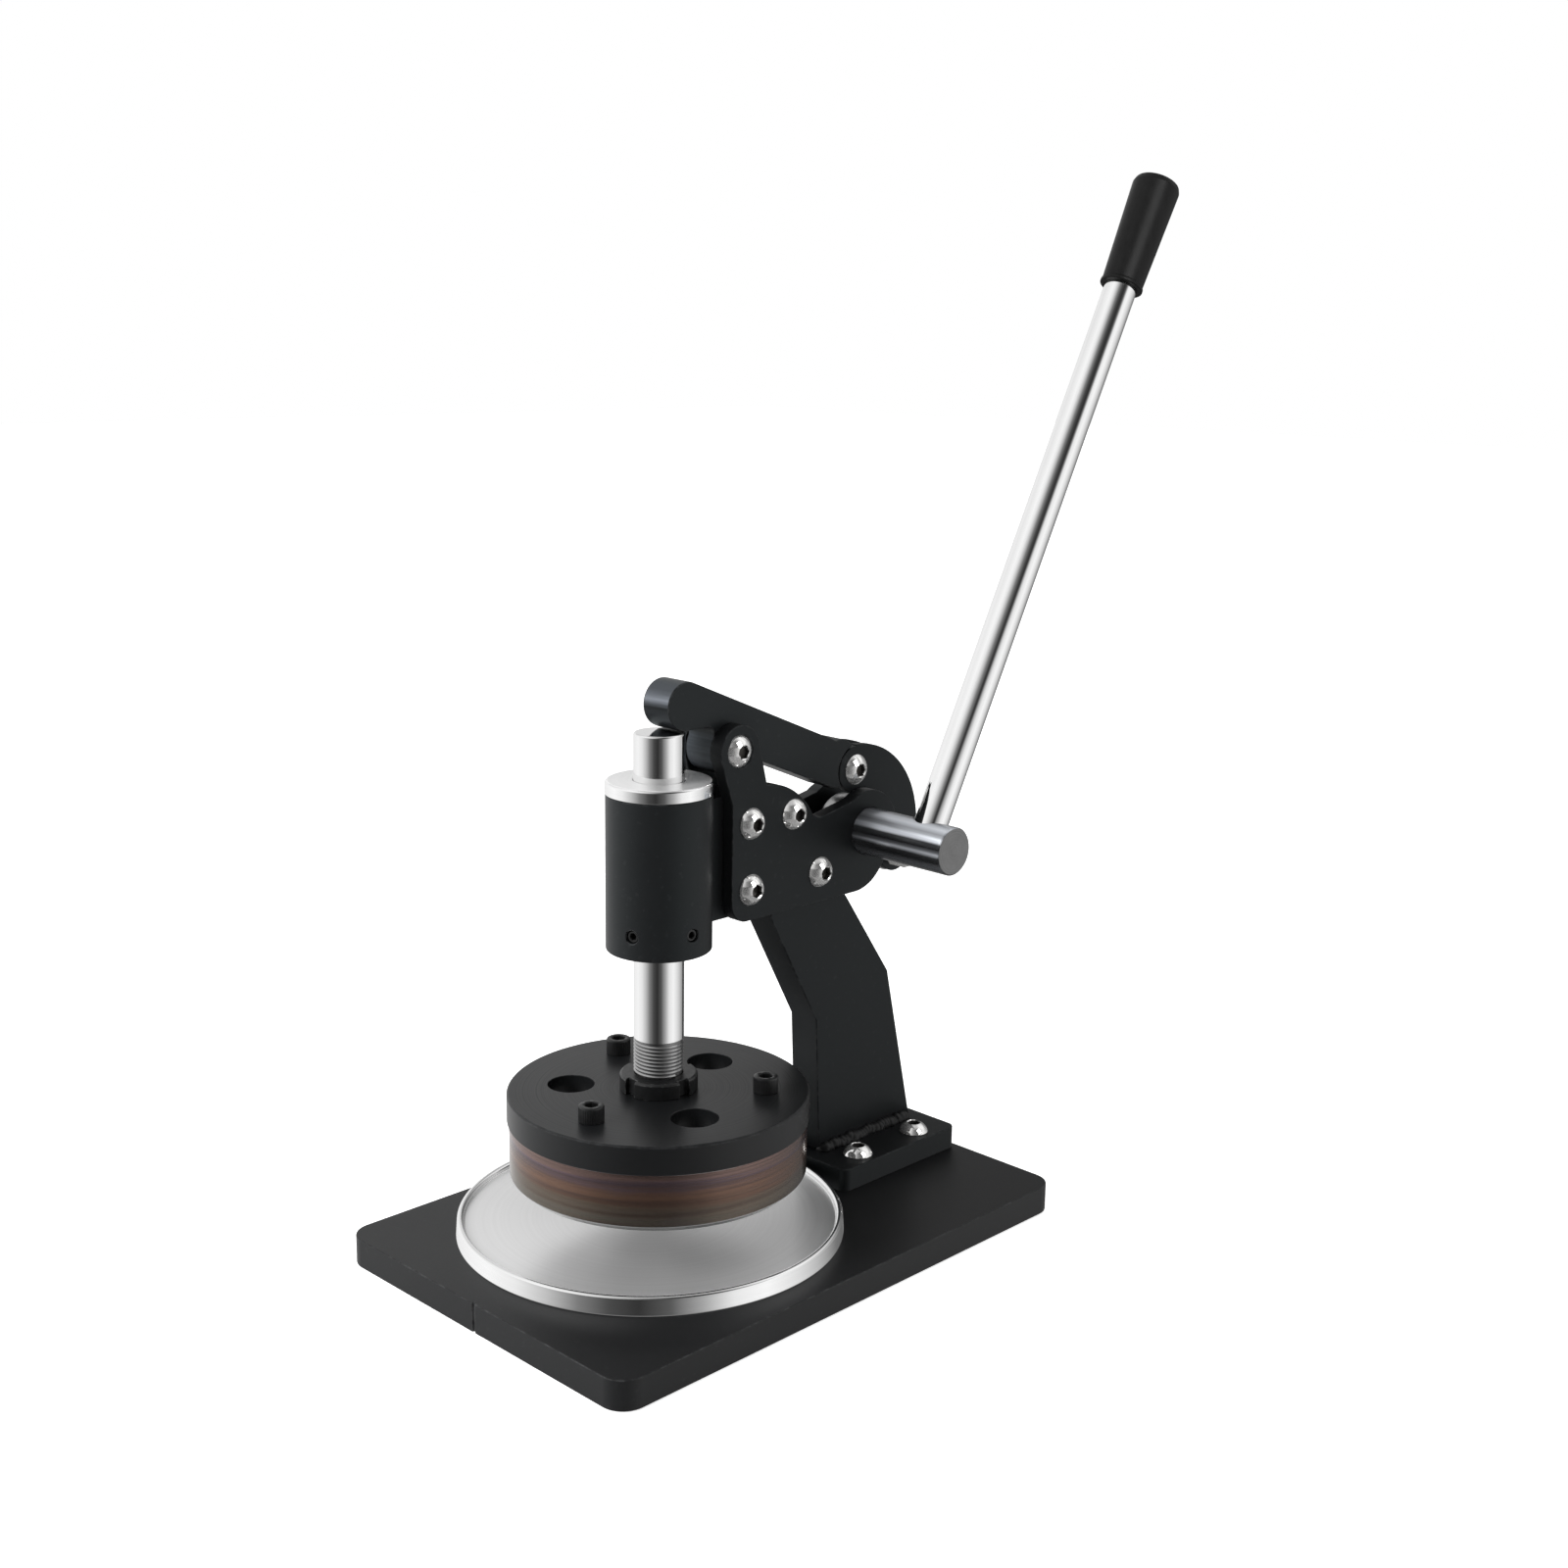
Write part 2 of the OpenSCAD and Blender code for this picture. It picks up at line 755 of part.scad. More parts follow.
module lock_nut() {
    edge = 0.8;
    color(black)
        translate([0, ram_y, die_top_z])
            difference() {
                union() {
                    cylinder(d = nut_d, h = nut_t - edge);
                    translate([0, 0, nut_t - edge])
                        cylinder(d1 = nut_d, d2 = nut_d - 2 * edge, h = edge);
                }
                translate([0, 0, -over])
                    cylinder(d = ram_d - 2 * thread_root + 2 * run_clear, h = nut_t + 2 * over);
                for (turn = [0:90:270])
                    rotate(turn)
                        translate([nut_d / 2 - nut_slot_depth, -nut_slot_w / 2, -over])
                            cube([nut_d, nut_slot_w, nut_t + 2 * over]);
            }
}

module die_plate() {
    edge = 0.6;
    color(black)
        difference() {
            translate([0, ram_y, die_low_z]) {
                cylinder(d = die_d, h = die_t - edge, $fn = 128);
                translate([0, 0, die_t - edge])
                    cylinder(d1 = die_d, d2 = die_d - 2 * edge, h = edge, $fn = 128);
            }
            translate([0, ram_y, die_low_z - over])
                cylinder(d = ram_d - 2 * thread_root + 2 * run_clear, h = die_t + 2 * over);
            round_ram(hole_turns, push_hole_r, die_low_z - over)
                cylinder(d = push_hole_d, h = die_t + 2 * over);
            round_ram(screw_turns, blade_screw_r, die_low_z - over)
                cylinder(d = blade_screw_d + 2 * screw_clear, h = die_t + 2 * over);
        }
}

module ring_blade() {
    edge_r = cut_d / 2 + edge_land;
    color(tinted)
        difference() {
            translate([0, ram_y, die_low_z - blade_h])
                rotate_extrude($fn = 128)
                    polygon([[cut_d / 2, 0], [edge_r, 0], [blade_d / 2, bevel_h],
                        [blade_d / 2, blade_h], [flange_r, blade_h], [flange_r, blade_h - flange_t],
                        [cut_d / 2, blade_h - flange_t]]);
            round_ram(hole_turns, push_hole_r, die_low_z - flange_t - over)
                cylinder(d = push_hole_d, h = flange_t + 2 * over);
            round_ram(screw_turns, blade_screw_r, die_low_z - flange_t - over)
                cylinder(d = blade_screw_d + 2 * run_clear, h = flange_t + 2 * over);
        }
}

module blade_screws() {
    color(black)
        round_ram(screw_turns, blade_screw_r, die_top_z)
            cap_screw(blade_screw_d, die_t + flange_t, blade_head_d, blade_head_h);
}

// Rocker, links and crank

rear_bar_r = 9.4;
rear_lobe_back = 63;
rear_lobe_drop = 15.8;
rear_lobe = [rear_lobe_back, pivot_z - rear_lobe_drop];
rear_run = rear_lobe - nose;
rear_bump = 1.8;
rear_bump_point = rear_lobe + rear_bump * [-rear_run[1], rear_run[0]] / norm(rear_run);
rocker_hub_r = 10;
relief_y = -8.6;
relief_r = 3;
tongue_r = 9.2;
pocket_room = 0.6;
pocket_r = link_eye_r + pocket_room;

// The bar is relieved above the ram and stands up a little at its rear end
module rocker_outline() {
    flat_z = nose[1] - nose_r;
    relief_front = nose[0] - nose_r / 2;
    difference() {
        tangent_bar(nose, nose_r, rear_lobe, rear_bar_r);
        translate([relief_front, pivot_z]) {
            square([relief_y - relief_r - relief_front, flat_z - pivot_z]);
            square([relief_y - relief_front, flat_z - pivot_z - relief_r]);
        }
        translate([relief_y - relief_r, flat_z - relief_r])
            circle(relief_r);
    }
    translate(nose)
        circle(nose_r);
    translate(pivot)
        circle(rocker_hub_r);
    translate(rear_bump_point)
        circle(rear_bar_r);
}

module rocker_arm() {
    color(black)
        difference() {
            union() {
                difference() {
                    slab(-moving_half, moving_half)
                        rocker_outline();
                    cross_rod(link_top, 2 * pocket_r, tongue_half, core_half + over);
                    cross_rod(link_top, 2 * pocket_r, -core_half - over, -tongue_half);
                }
                slab(-tongue_half, tongue_half)
                    tangent_bar(rear_lobe, tongue_r, link_top, tongue_r);
            }
            cross_rod(pivot, pivot_d + 2 * run_clear, -core_t, core_t);
            cross_rod(link_top, link_pin_d + 2 * run_clear, -core_t, core_t);
        }
}

pin_head_h = 3.6;

// A plain pin along X with a domed socket head on the right
module headed_pin(point, d, low, high)
    translate([high, point[0], point[1]])
        rotate([0, 90, 0])
            button_screw(d, high - low, pin_head_d, pin_head_h);

pivot_nut_h = pivot_d * 0.6;
pivot_nut_flats = pivot_d * 1.6;

module rocker_pivot() {
    color(steel)
        headed_pin(pivot, pivot_d, -plate_outer - pivot_nut_h, plate_outer - pin_sink);
}

module pivot_nut() {
    color(steel)
        at_plate_points([pivot], -1)
            hex_nut(pivot_nut_flats, pivot_nut_h, pivot_d + 2 * run_clear);
}

bow_y = 73.8;
bow_drop = 3.6;
bow_centre = [bow_y, shaft_z - bow_drop];
bow_end = -8;
bow_foot_turn = -50;
link_throat_r = 16;

// A bowed link: two eyes and the part of a round disc behind them, open round the shaft
module link_outline() {
    foot_corner = crank_point + link_eye_r * [cos(bow_foot_turn), sin(bow_foot_turn)];
    top_z = bow_centre[1] + link_bow_r;
    back_y = bow_centre[0] + link_bow_r;
    difference() {
        union() {
            translate(link_top)
                circle(link_eye_r);
            translate(crank_point)
                circle(link_eye_r);
            intersection() {
                translate(bow_centre)
                    circle(link_bow_r, $fn = 128);
                polygon([crank_point, foot_corner,
                    [back_y, bow_centre[1] + link_bow_r * sin(bow_end)],
                    [back_y, top_z], [link_top[0], top_z], link_top]);
            }
        }
        translate(shaft_axis)
            circle(link_throat_r);
        for (point = [link_top, crank_point])
            translate(point)
                circle(d = link_pin_d + 2 * run_clear);
    }
}

module right_link() {
    color(black)
        slab(link_inner, moving_half)
            link_outline();
}

module left_link() {
    color(black)
        slab(-moving_half, -link_inner)
            link_outline();
}

pin_tail = 2;
crank_pin_head_h = 9.5;
crank_pin_head_d = pin_head_d + 2;

module link_pin() {
    color(steel) {
        headed_pin(link_top, link_pin_d, -moving_half, moving_half);
        cross_rod(link_top, pin_head_d, -moving_half - pin_tail, -moving_half);
    }
}

// The crank pin has a hexagon head, one flat up
module crank_pin() {
    color(steel) {
        cross_rod(crank_point, link_pin_d, -moving_half, moving_half);
        translate([moving_half, crank_point[0], crank_point[1]])
            rotate([0, 90, 0])
                rotate(30)
                    cylinder(d = crank_pin_head_d, h = crank_pin_head_h, $fn = 6);
        cross_rod(crank_point, pin_head_d, -moving_half - pin_tail, -moving_half);
    }
}

crank_arm_w = 17;
key_in_shaft = key_w / 2;
key_h = key_w * 0.9;
key_base = shaft_d / 2 - key_in_shaft;

module crank_outline() {
    run = crank_point - shaft_axis;
    translate(shaft_axis) {
        circle(crank_hub_r);
        rotate(atan2(run[1], run[0]))
            translate([0, -crank_arm_w / 2])
                square([norm(run), crank_arm_w]);
    }
    translate(crank_point)
        circle(crank_eye_r);
}

module crank() {
    color(black)
        difference() {
            slab(-tongue_half, tongue_half)
                crank_outline();
            cross_rod(shaft_axis, shaft_d + 2 * run_clear, -core_t, core_t);
            cross_rod(crank_point, link_pin_d + 2 * crank_eye_room, -core_t, core_t);
            translate([-core_t, shaft_y - key_w / 2 - run_clear, shaft_z])
                cube([2 * core_t, key_w + 2 * run_clear, key_base + key_h + run_clear]);
        }
}

module crank_key() {
    color(steel)
        translate([-tongue_half, shaft_y - key_w / 2, shaft_z + key_base])
            cube([2 * tongue_half, key_w, key_h]);
}

// Handle

shaft_tail = 6;
shaft_low_x = -plate_outer - shaft_tail;
clip_t = 1.2;
clip_x = -plate_outer - side_clear - clip_t;
clip_groove = 0.5;
clip_d = shaft_d + 6;
rod_foot = 6;
rod_mouth = 0.8;
rod_mouth_depth = 2.5;
rod_mouth_h = 3;
shaft_edge = 0.6;

// Sets the handle's own axis, leaning back from the shaft, along Z
module along_handle()
    translate([rod_x, shaft_y, shaft_z])
        rotate([-handle_lean, 0, 0])
            children();

module handle_shaft() {
    key_half_l = tongue_half + run_clear;
    color(steel)
        difference() {
            union() {
                cross_rod(shaft_axis, shaft_d, shaft_low_x, shaft_end_x - shaft_edge);
                translate([shaft_end_x - shaft_edge, shaft_y, shaft_z])
                    rotate([0, 90, 0])
                        cylinder(d1 = shaft_d, d2 = shaft_d - 2 * shaft_edge, h = shaft_edge);
            }
            along_handle()
                translate([0, 0, -rod_foot])
                    cylinder(d = rod_d + 2 * run_clear, h = shaft_d);
            along_handle()
                translate([0, 0, shaft_d / 2 - rod_mouth_depth])
                    cylinder(d1 = rod_d, d2 = rod_d + 4 * rod_mouth, h = rod_mouth_h);
            translate([-key_half_l, shaft_y - key_w / 2 - run_clear, shaft_z + key_base - run_clear])
                cube([2 * key_half_l, key_w + 2 * run_clear, shaft_d]);
            difference() {
                cross_rod(shaft_axis, shaft_d + over, clip_x - run_clear, clip_x + clip_t + run_clear);
                cross_rod(shaft_axis, shaft_d - 2 * clip_groove, clip_x - over, clip_x + clip_t + over);
            }
        }
}

// A snap ring with a gap at the bottom
module shaft_clip() {
    gap_w = 9;
    color(steel)
        difference() {
            cross_rod(shaft_axis, clip_d, clip_x, clip_x + clip_t);
            cross_rod(shaft_axis, shaft_d - 2 * clip_groove + 2 * run_clear,
                clip_x - over, clip_x + clip_t + over);
            translate([clip_x - over, shaft_y - gap_w / 2, shaft_z - clip_d])
                cube([clip_t + 2 * over, gap_w, clip_d]);
        }
}

grip_cap = 4;
grip_edge_r = 3;
grip_lip_h = 1.6;
grip_lip = 0.5;

module handle_rod() {
    color(steel)
        along_handle()
            translate([0, 0, -rod_foot + run_clear])
                cylinder(d = rod_d, h = handle_l - grip_cap + rod_foot - 2 * run_clear);
}

module handle_grip() {
    low = handle_l - grip_l;
    top_r = grip_top_d / 2;
    low_r = grip_low_d / 2;
    bore_r = rod_d / 2 + run_clear;
    color(black)
        along_handle()
            difference() {
                translate([0, 0, low])
                    rotate_extrude() {
                        polygon([[0, 0], [low_r, 0], [top_r, grip_l - grip_edge_r],
                            [top_r - grip_edge_r, grip_l - grip_edge_r],
                            [top_r - grip_edge_r, grip_l], [0, grip_l]]);
                        square([low_r + grip_lip, grip_lip_h]);
                        intersection() {
                            translate([top_r - grip_edge_r, grip_l - grip_edge_r])
                                circle(grip_edge_r);
                            square([top_r, grip_l]);
                        }
                    }
                translate([0, 0, low - over])
                    cylinder(r = bore_r, h = grip_l - grip_cap + over);
            }
}

base_plate();
cutting_tray();
tray_screws();
post_foot();
post();
weld_beads();
foot_screws();
right_side_plate();
left_side_plate();
plate_screws();
plate_nuts();
sleeve_rib();
guide_sleeve();
upper_bush();
lower_bush();
sleeve_set_screws();
return_spring();
ram();
ram_collar();
lock_nut();
die_plate();
ring_blade();
blade_screws();
rocker_arm();
rocker_pivot();
pivot_nut();
right_link();
left_link();
link_pin();
crank_pin();
crank();
crank_key();
handle_shaft();
shaft_clip();
handle_rod();
handle_grip();
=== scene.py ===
"""Circular sample cutter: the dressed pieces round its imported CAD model.

Sizes are in millimetres as in the part's source, and meshes are made in metres in the same frame:
+Z is up, +Y goes back to the post and +X is the side of the handle.
"""

import logging
import math
from abc import ABC, abstractmethod
from dataclasses import dataclass
from enum import Enum
from typing import Any, Mapping, Sequence

import bmesh
import bpy
from mathutils import Matrix, Vector


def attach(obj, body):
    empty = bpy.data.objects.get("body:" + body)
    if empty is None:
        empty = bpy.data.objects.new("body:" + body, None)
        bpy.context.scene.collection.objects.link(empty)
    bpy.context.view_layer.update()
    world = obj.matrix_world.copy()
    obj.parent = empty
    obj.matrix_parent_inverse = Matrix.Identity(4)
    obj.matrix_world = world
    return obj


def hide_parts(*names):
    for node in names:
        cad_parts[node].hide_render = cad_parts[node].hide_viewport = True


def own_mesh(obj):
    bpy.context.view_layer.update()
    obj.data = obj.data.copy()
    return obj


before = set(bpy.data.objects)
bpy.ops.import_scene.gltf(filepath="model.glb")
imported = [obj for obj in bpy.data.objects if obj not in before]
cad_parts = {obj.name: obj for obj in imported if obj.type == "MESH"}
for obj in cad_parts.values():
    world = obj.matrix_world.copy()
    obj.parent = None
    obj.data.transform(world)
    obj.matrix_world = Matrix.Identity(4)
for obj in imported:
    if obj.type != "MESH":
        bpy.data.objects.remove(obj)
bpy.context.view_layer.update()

LOG = logging.getLogger("sample_cutter")
Colour = tuple[float, float, float, float]
Point = tuple[float, float, float]
Pair = tuple[float, float]
Stops = tuple[tuple[float, Colour], ...]
Coat = dict[str, Any]

MM = 0.001
RAM_AXIS: Pair = (0.0, -30.4)
TRAY_CENTRE: Pair = (-4.5, -30.4)
ROCKER_PIVOT: Pair = (0.0, 206.3)
SHAFT_AXIS: Pair = (75.5, 161.8)
HANDLE_LEAN = 27.8
NOISE_MIDDLE = 0.5
KNURLS = 36
KNURL_DEPTH = 0.16
BORE_SEAM = 0.1
MERGE_REACH = 0.06
SLIVER_REACH = 0.02
FLAT_ANGLE = 0.6


class Body(Enum):
    """The bodies that the pieces ride on."""

    FRAME = "frame"
    LEVER = "lever"
    ROCKER = "rocker"
    LINKS = "links"
    RAM = "press_ram"


class Slot(Enum):
    """The material slots of the record."""

    BLACK_STEEL = "black_steel"
    TURNED_STEEL = "turned_steel"
    BRIGHT_SCREW = "bright_screw"
    HARD_CHROME = "hard_chrome"
    BLACK_OXIDE = "black_oxide"
    TINTED_STEEL = "tinted_steel"
    BUSH_BRONZE = "bush_bronze"
    GRIP_VINYL = "grip_vinyl"


class RingShape(Enum):
    """How a ring of a turned piece runs round its axis."""

    ROUND = "round"
    HEX = "hex"
    KNURLED = "knurled"


class Facing(Enum):
    """Which way a fastener's head points, as its tilt about X, Y and Z in degrees."""

    UP = (0.0, 0.0, 0.0)
    DOWN = (180.0, 0.0, 0.0)
    RIGHT = (0.0, 90.0, 0.0)
    LEFT = (0.0, -90.0, 0.0)


def grey(level: float, blue: float = 0.0) -> Colour:
    """Return an opaque grey, a little bluer by the given amount."""
    return (level, level + blue * 0.4, level + blue, 1.0)


def tinted_stops(levels: Sequence[Pair], tint: Point) -> Stops:
    """Return the stops of a colour ramp from (place, level) pairs in one tint."""
    return tuple((place, (*(level * part for part in tint), 1.0)) for place, level in levels)


class Sock:
    """A node's output that takes part in Python expressions."""

    def __init__(self, graph: "Graph", socket: bpy.types.NodeSocket) -> None:
        """Keep the socket and the graph that it belongs to."""
        self.graph = graph
        self.socket = socket

    def maths(self, operation: str, *values: Any) -> "Sock":
        """Add one Math node.

        Args:
            operation: The Math node's operation.
            values: Sockets or numbers for its inputs, in order.

        Returns:
            The node's result.
        """
        node = self.graph.add("ShaderNodeMath", {"operation": operation}, dict(enumerate(values)))
        return Sock(self.graph, node.outputs[0])

    def __add__(self, other: Any) -> "Sock":
        """Return self + other."""
        return self.maths("ADD", self, other)

    def __radd__(self, other: Any) -> "Sock":
        """Return other + self."""
        return self.maths("ADD", other, self)

    def __sub__(self, other: Any) -> "Sock":
        """Return self - other."""
        return self.maths("SUBTRACT", self, other)

    def __rsub__(self, other: Any) -> "Sock":
        """Return other - self."""
        return self.maths("SUBTRACT", other, self)

    def __mul__(self, other: Any) -> "Sock":
        """Return self * other."""
        return self.maths("MULTIPLY", self, other)

    def __rmul__(self, other: Any) -> "Sock":
        """Return other * self."""
        return self.maths("MULTIPLY", other, self)

    def __truediv__(self, other: Any) -> "Sock":
        """Return self / other."""
        return self.maths("DIVIDE", self, other)

    def __pow__(self, other: Any) -> "Sock":
        """Return self to the power of other."""
        return self.maths("POWER", self, other)

    def sine(self) -> "Sock":
        """Return the sine of a value in radians."""
        return self.maths("SINE", self)

    def cosine(self) -> "Sock":
        """Return the cosine of a value in radians."""
        return self.maths("COSINE", self)

    def sway(self, amount: float) -> "Sock":
        """Return the swing of a noise about its middle, times an amount."""
        return (self - NOISE_MIDDLE) * amount

    def between(self, low: float, high: float) -> "Sock":
        """Return a smooth step from 0 at low to 1 at high.

        Args:
            low: Value where the step starts.
            high: Value where it ends; it may be the smaller one.

        Returns:
            The step.
        """
        turned_round = high < low
        ends = (high, low) if turned_round else (low, high)
        node = self.graph.add(
            "ShaderNodeMapRange",
            {"interpolation_type": "SMOOTHSTEP"},
            {"Value": self, "From Min": ends[0], "From Max": ends[1]},
        )
        step = Sock(self.graph, node.outputs[0])
        return 1.0 - step if turned_round else step


class Graph:
    """A node tree that is filled in from Python expressions."""

    def __init__(self, tree: bpy.types.NodeTree) -> None:
        """Keep the tree to fill."""
        self.tree = tree

    def add(
        self,
        kind: str,
        settings: Mapping[str, Any] | None = None,
        inputs: Mapping[str | int, Any] | None = None,
    ) -> bpy.types.Node:
        """Add one node.

        Args:
            kind: The node's type.
            settings: Its properties; "stops" fills a colour ramp with (place, colour) pairs.
            inputs: Values or sockets for its inputs, by name or number.

        Returns:
            The node.
        """
        node = self.tree.nodes.new(kind)
        for key, value in (settings or {}).items():
            if key == "stops":
                self.fill_ramp(node.color_ramp, value)
            else:
                setattr(node, key, value)
        for key, value in (inputs or {}).items():
            self.feed(node.inputs[key], value)
        return node

    def feed(self, socket: bpy.types.NodeSocket, value: Any) -> None:
        """Link a socket to an expression, or set its value.

        Args:
            socket: The input to fill.
            value: An expression's socket or a plain value.
        """
        if isinstance(value, Sock):
            self.tree.links.new(value.socket, socket)
        else:
            socket.default_value = value

    @staticmethod
    def fill_ramp(ramp: bpy.types.ColorRamp, stops: Stops) -> None:
        """Give a colour ramp its stops.

        Args:
            ramp: The ramp.
            stops: Its (place, colour) pairs from left to right.
        """
        while len(ramp.elements) < len(stops):
            ramp.elements.new(1.0)
        for element, (place, colour) in zip(ramp.elements, stops):
            element.position = place
            element.color = colour

    def get(
        self,
        kind: str,
        settings: Mapping[str, Any] | None = None,
        inputs: Mapping[str | int, Any] | None = None,
        output: str | int = 0,
    ) -> Sock:
        """Add one node and return one of its outputs.

        Args:
            kind: The node's type.
            settings: Its properties.
            inputs: Values or sockets for its inputs.
            output: Name or number of the output.

        Returns:
            The output as a socket.
        """
        return Sock(self, self.add(kind, settings, inputs).outputs[output])

    def place(self) -> Sock:
        """Return the Object coordinates, in metres."""
        return self.get("ShaderNodeTexCoord", output="Object")

    def split(self, vector: Sock) -> tuple[Sock, Sock, Sock]:
        """Take a vector apart.

        Args:
            vector: The vector.

        Returns:
            Its three components.
        """
        node = self.add("ShaderNodeSeparateXYZ", inputs={0: vector})
        x, y, z = (Sock(self, output) for output in node.outputs)
        return x, y, z

    def join(self, x: Any, y: Any, z: Any) -> Sock:
        """Return a vector of three values."""
        return self.get("ShaderNodeCombineXYZ", inputs={0: x, 1: y, 2: z})

    def noise(self, vector: Sock, scale: float, detail: float = 2.0, rough: float = 0.5) -> Sock:
        """Return a noise value.

        Args:
            vector: Coordinates in metres.
            scale: Cells in a metre.
            detail: Octaves.
            rough: Weight of the finer octaves.

        Returns:
            The noise, about 0.5.
        """
        inputs = {"Vector": vector, "Scale": scale, "Detail": detail, "Roughness": rough}
        return self.get("ShaderNodeTexNoise", inputs=inputs)

    def lines(self, value: Sock, scale: float, detail: float = 2.0) -> Sock:
        """Return noise along one value, which gives irregular lines."""
        inputs = {"W": value, "Scale": scale, "Detail": detail}
        return self.get("ShaderNodeTexNoise", {"noise_dimensions": "1D"}, inputs)

    def drawn(self, scales: Point, detail: float = 2.0, rough: float = 0.5) -> Sock:
        """Return noise with a scale of its own along each axis.

        Args:
            scales: Cells in a metre along X, Y and Z.
            detail: Octaves.
            rough: Weight of the finer octaves.

        Returns:
            The noise, about 0.5.
        """
        x, y, z = self.split(self.place())
        spot = self.join(x * scales[0], y * scales[1], z * scales[2])
        return self.noise(spot, 1.0, detail, rough)

    def blend(self, share: Any, first: Any, second: Any) -> Sock:
        """Mix two colours.

        Args:
            share: 0 for the first colour, 1 for the second.
            first: A colour or socket.
            second: A colour or socket.

        Returns:
            The mixed colour.
        """
        node = self.add("ShaderNodeMix", {"data_type": "RGBA"}, {0: share, 6: first, 7: second})
        return Sock(self, node.outputs[2])

    def ramp(self, value: Sock, stops: Stops) -> Sock:
        """Return a colour ramp over a value."""
        return self.get("ShaderNodeValToRGB", {"stops": stops}, {0: value})

    def radius(self, first: Sock, second: Sock, centre: Pair) -> Sock:
        """Return the distance from an axis.

        Args:
            first: First coordinate across the axis.
            second: Second coordinate across the axis.
            centre: The axis, in millimetres.

        Returns:
            The distance in metres.
        """
        a = first - centre[0] * MM
        b = second - centre[1] * MM
        return (a * a + b * b) ** 0.5

    def bump(self, height: Sock, strength: float, depth: float) -> Sock:
        """Return a normal from a height.

        Args:
            height: Height, about 0 to 1.
            strength: Share of the effect.
            depth: Height of 1, in millimetres.

        Returns:
            The normal.
        """
        inputs = {"Strength": strength, "Distance": depth * MM, "Height": height}
        return self.get("ShaderNodeBump", inputs=inputs)

    def rubbed(self) -> Sock:
        """Return the mark of a piece's rounded edges, used for wear and, on the blade, a painted
        edge highlight.
        """
        return self.get("ShaderNodeAttribute", {"attribute_name": "rubbed"}, output="Fac")

    def sooted(self) -> Sock:
        """Return the share of painted shade that darkens a screw's socket."""
        return self.get("ShaderNodeAttribute", {"attribute_name": "sooted"}, output="Fac")


@dataclass(frozen=True)
class Finish(ABC):
    """What a surface is made of and how it is finished."""

    name: str
    slot: Slot

    def material(self) -> bpy.types.Material:
        """Make the finish's material, or find the one that is there already.

        Returns:
            The material.
        """
        found = bpy.data.materials.get(self.name)
        if found:
            return found
        material = bpy.data.materials.new(self.name)
        material.use_nodes = True
        graph = Graph(material.node_tree)
        surface = material.node_tree.nodes["Principled BSDF"]
        for socket, value in self.coat(graph).items():
            graph.feed(surface.inputs[socket], value)
        return material

    @abstractmethod
    def coat(self, graph: Graph) -> Coat:
        """Mix the finish.

        Args:
            graph: The material's node tree.

        Returns:
            What each socket of the surface shader gets.
        """


@dataclass(frozen=True)
class SatinBlack(Finish):
    """Satin black paint on steel, with a fine grain and a little rub along its edges."""

    tone: float = 0.0075
    roughness: float = 0.42
    gloss: float = 0.16
    rub: float = 0.5
    sheen: Colour = (0.84, 0.97, 1.0, 1.0)
    cloud_scale: float = 16.0
    grain_scale: float = 1400.0
    speck_scale: float = 420.0
    wear_scale: float = 210.0

    def coat(self, graph: Graph) -> Coat:
        """Mix the paint.

        Args:
            graph: The material's node tree.

        Returns:
            What each socket gets.
        """
        spot = graph.place()
        cloud = graph.noise(spot, self.cloud_scale, 4.0, 0.6)
        grain = graph.noise(spot, self.grain_scale, 3.0, 0.6)
        speck = graph.noise(spot, self.speck_scale).between(0.64, 0.72)
        patchy = graph.noise(spot, self.wear_scale, 4.0, 0.7).between(0.42, 0.66)
        worn = graph.rubbed() * patchy * self.rub
        paint = graph.blend(cloud, grey(self.tone * 0.75, 0.0006), grey(self.tone * 1.3, 0.0012))
        paint = graph.blend(speck * 0.35, paint, grey(self.tone * 2.4, 0.001))
        return {
            "Base Color": graph.blend(worn, paint, grey(self.tone * 5.0, 0.002)),
            "Roughness": self.roughness + cloud.sway(0.14) + grain.sway(0.1) - worn * 0.08,
            "Normal": graph.bump(grain, 0.35, 0.02),
            "Specular IOR Level": self.gloss,
            "Specular Tint": self.sheen,
        }


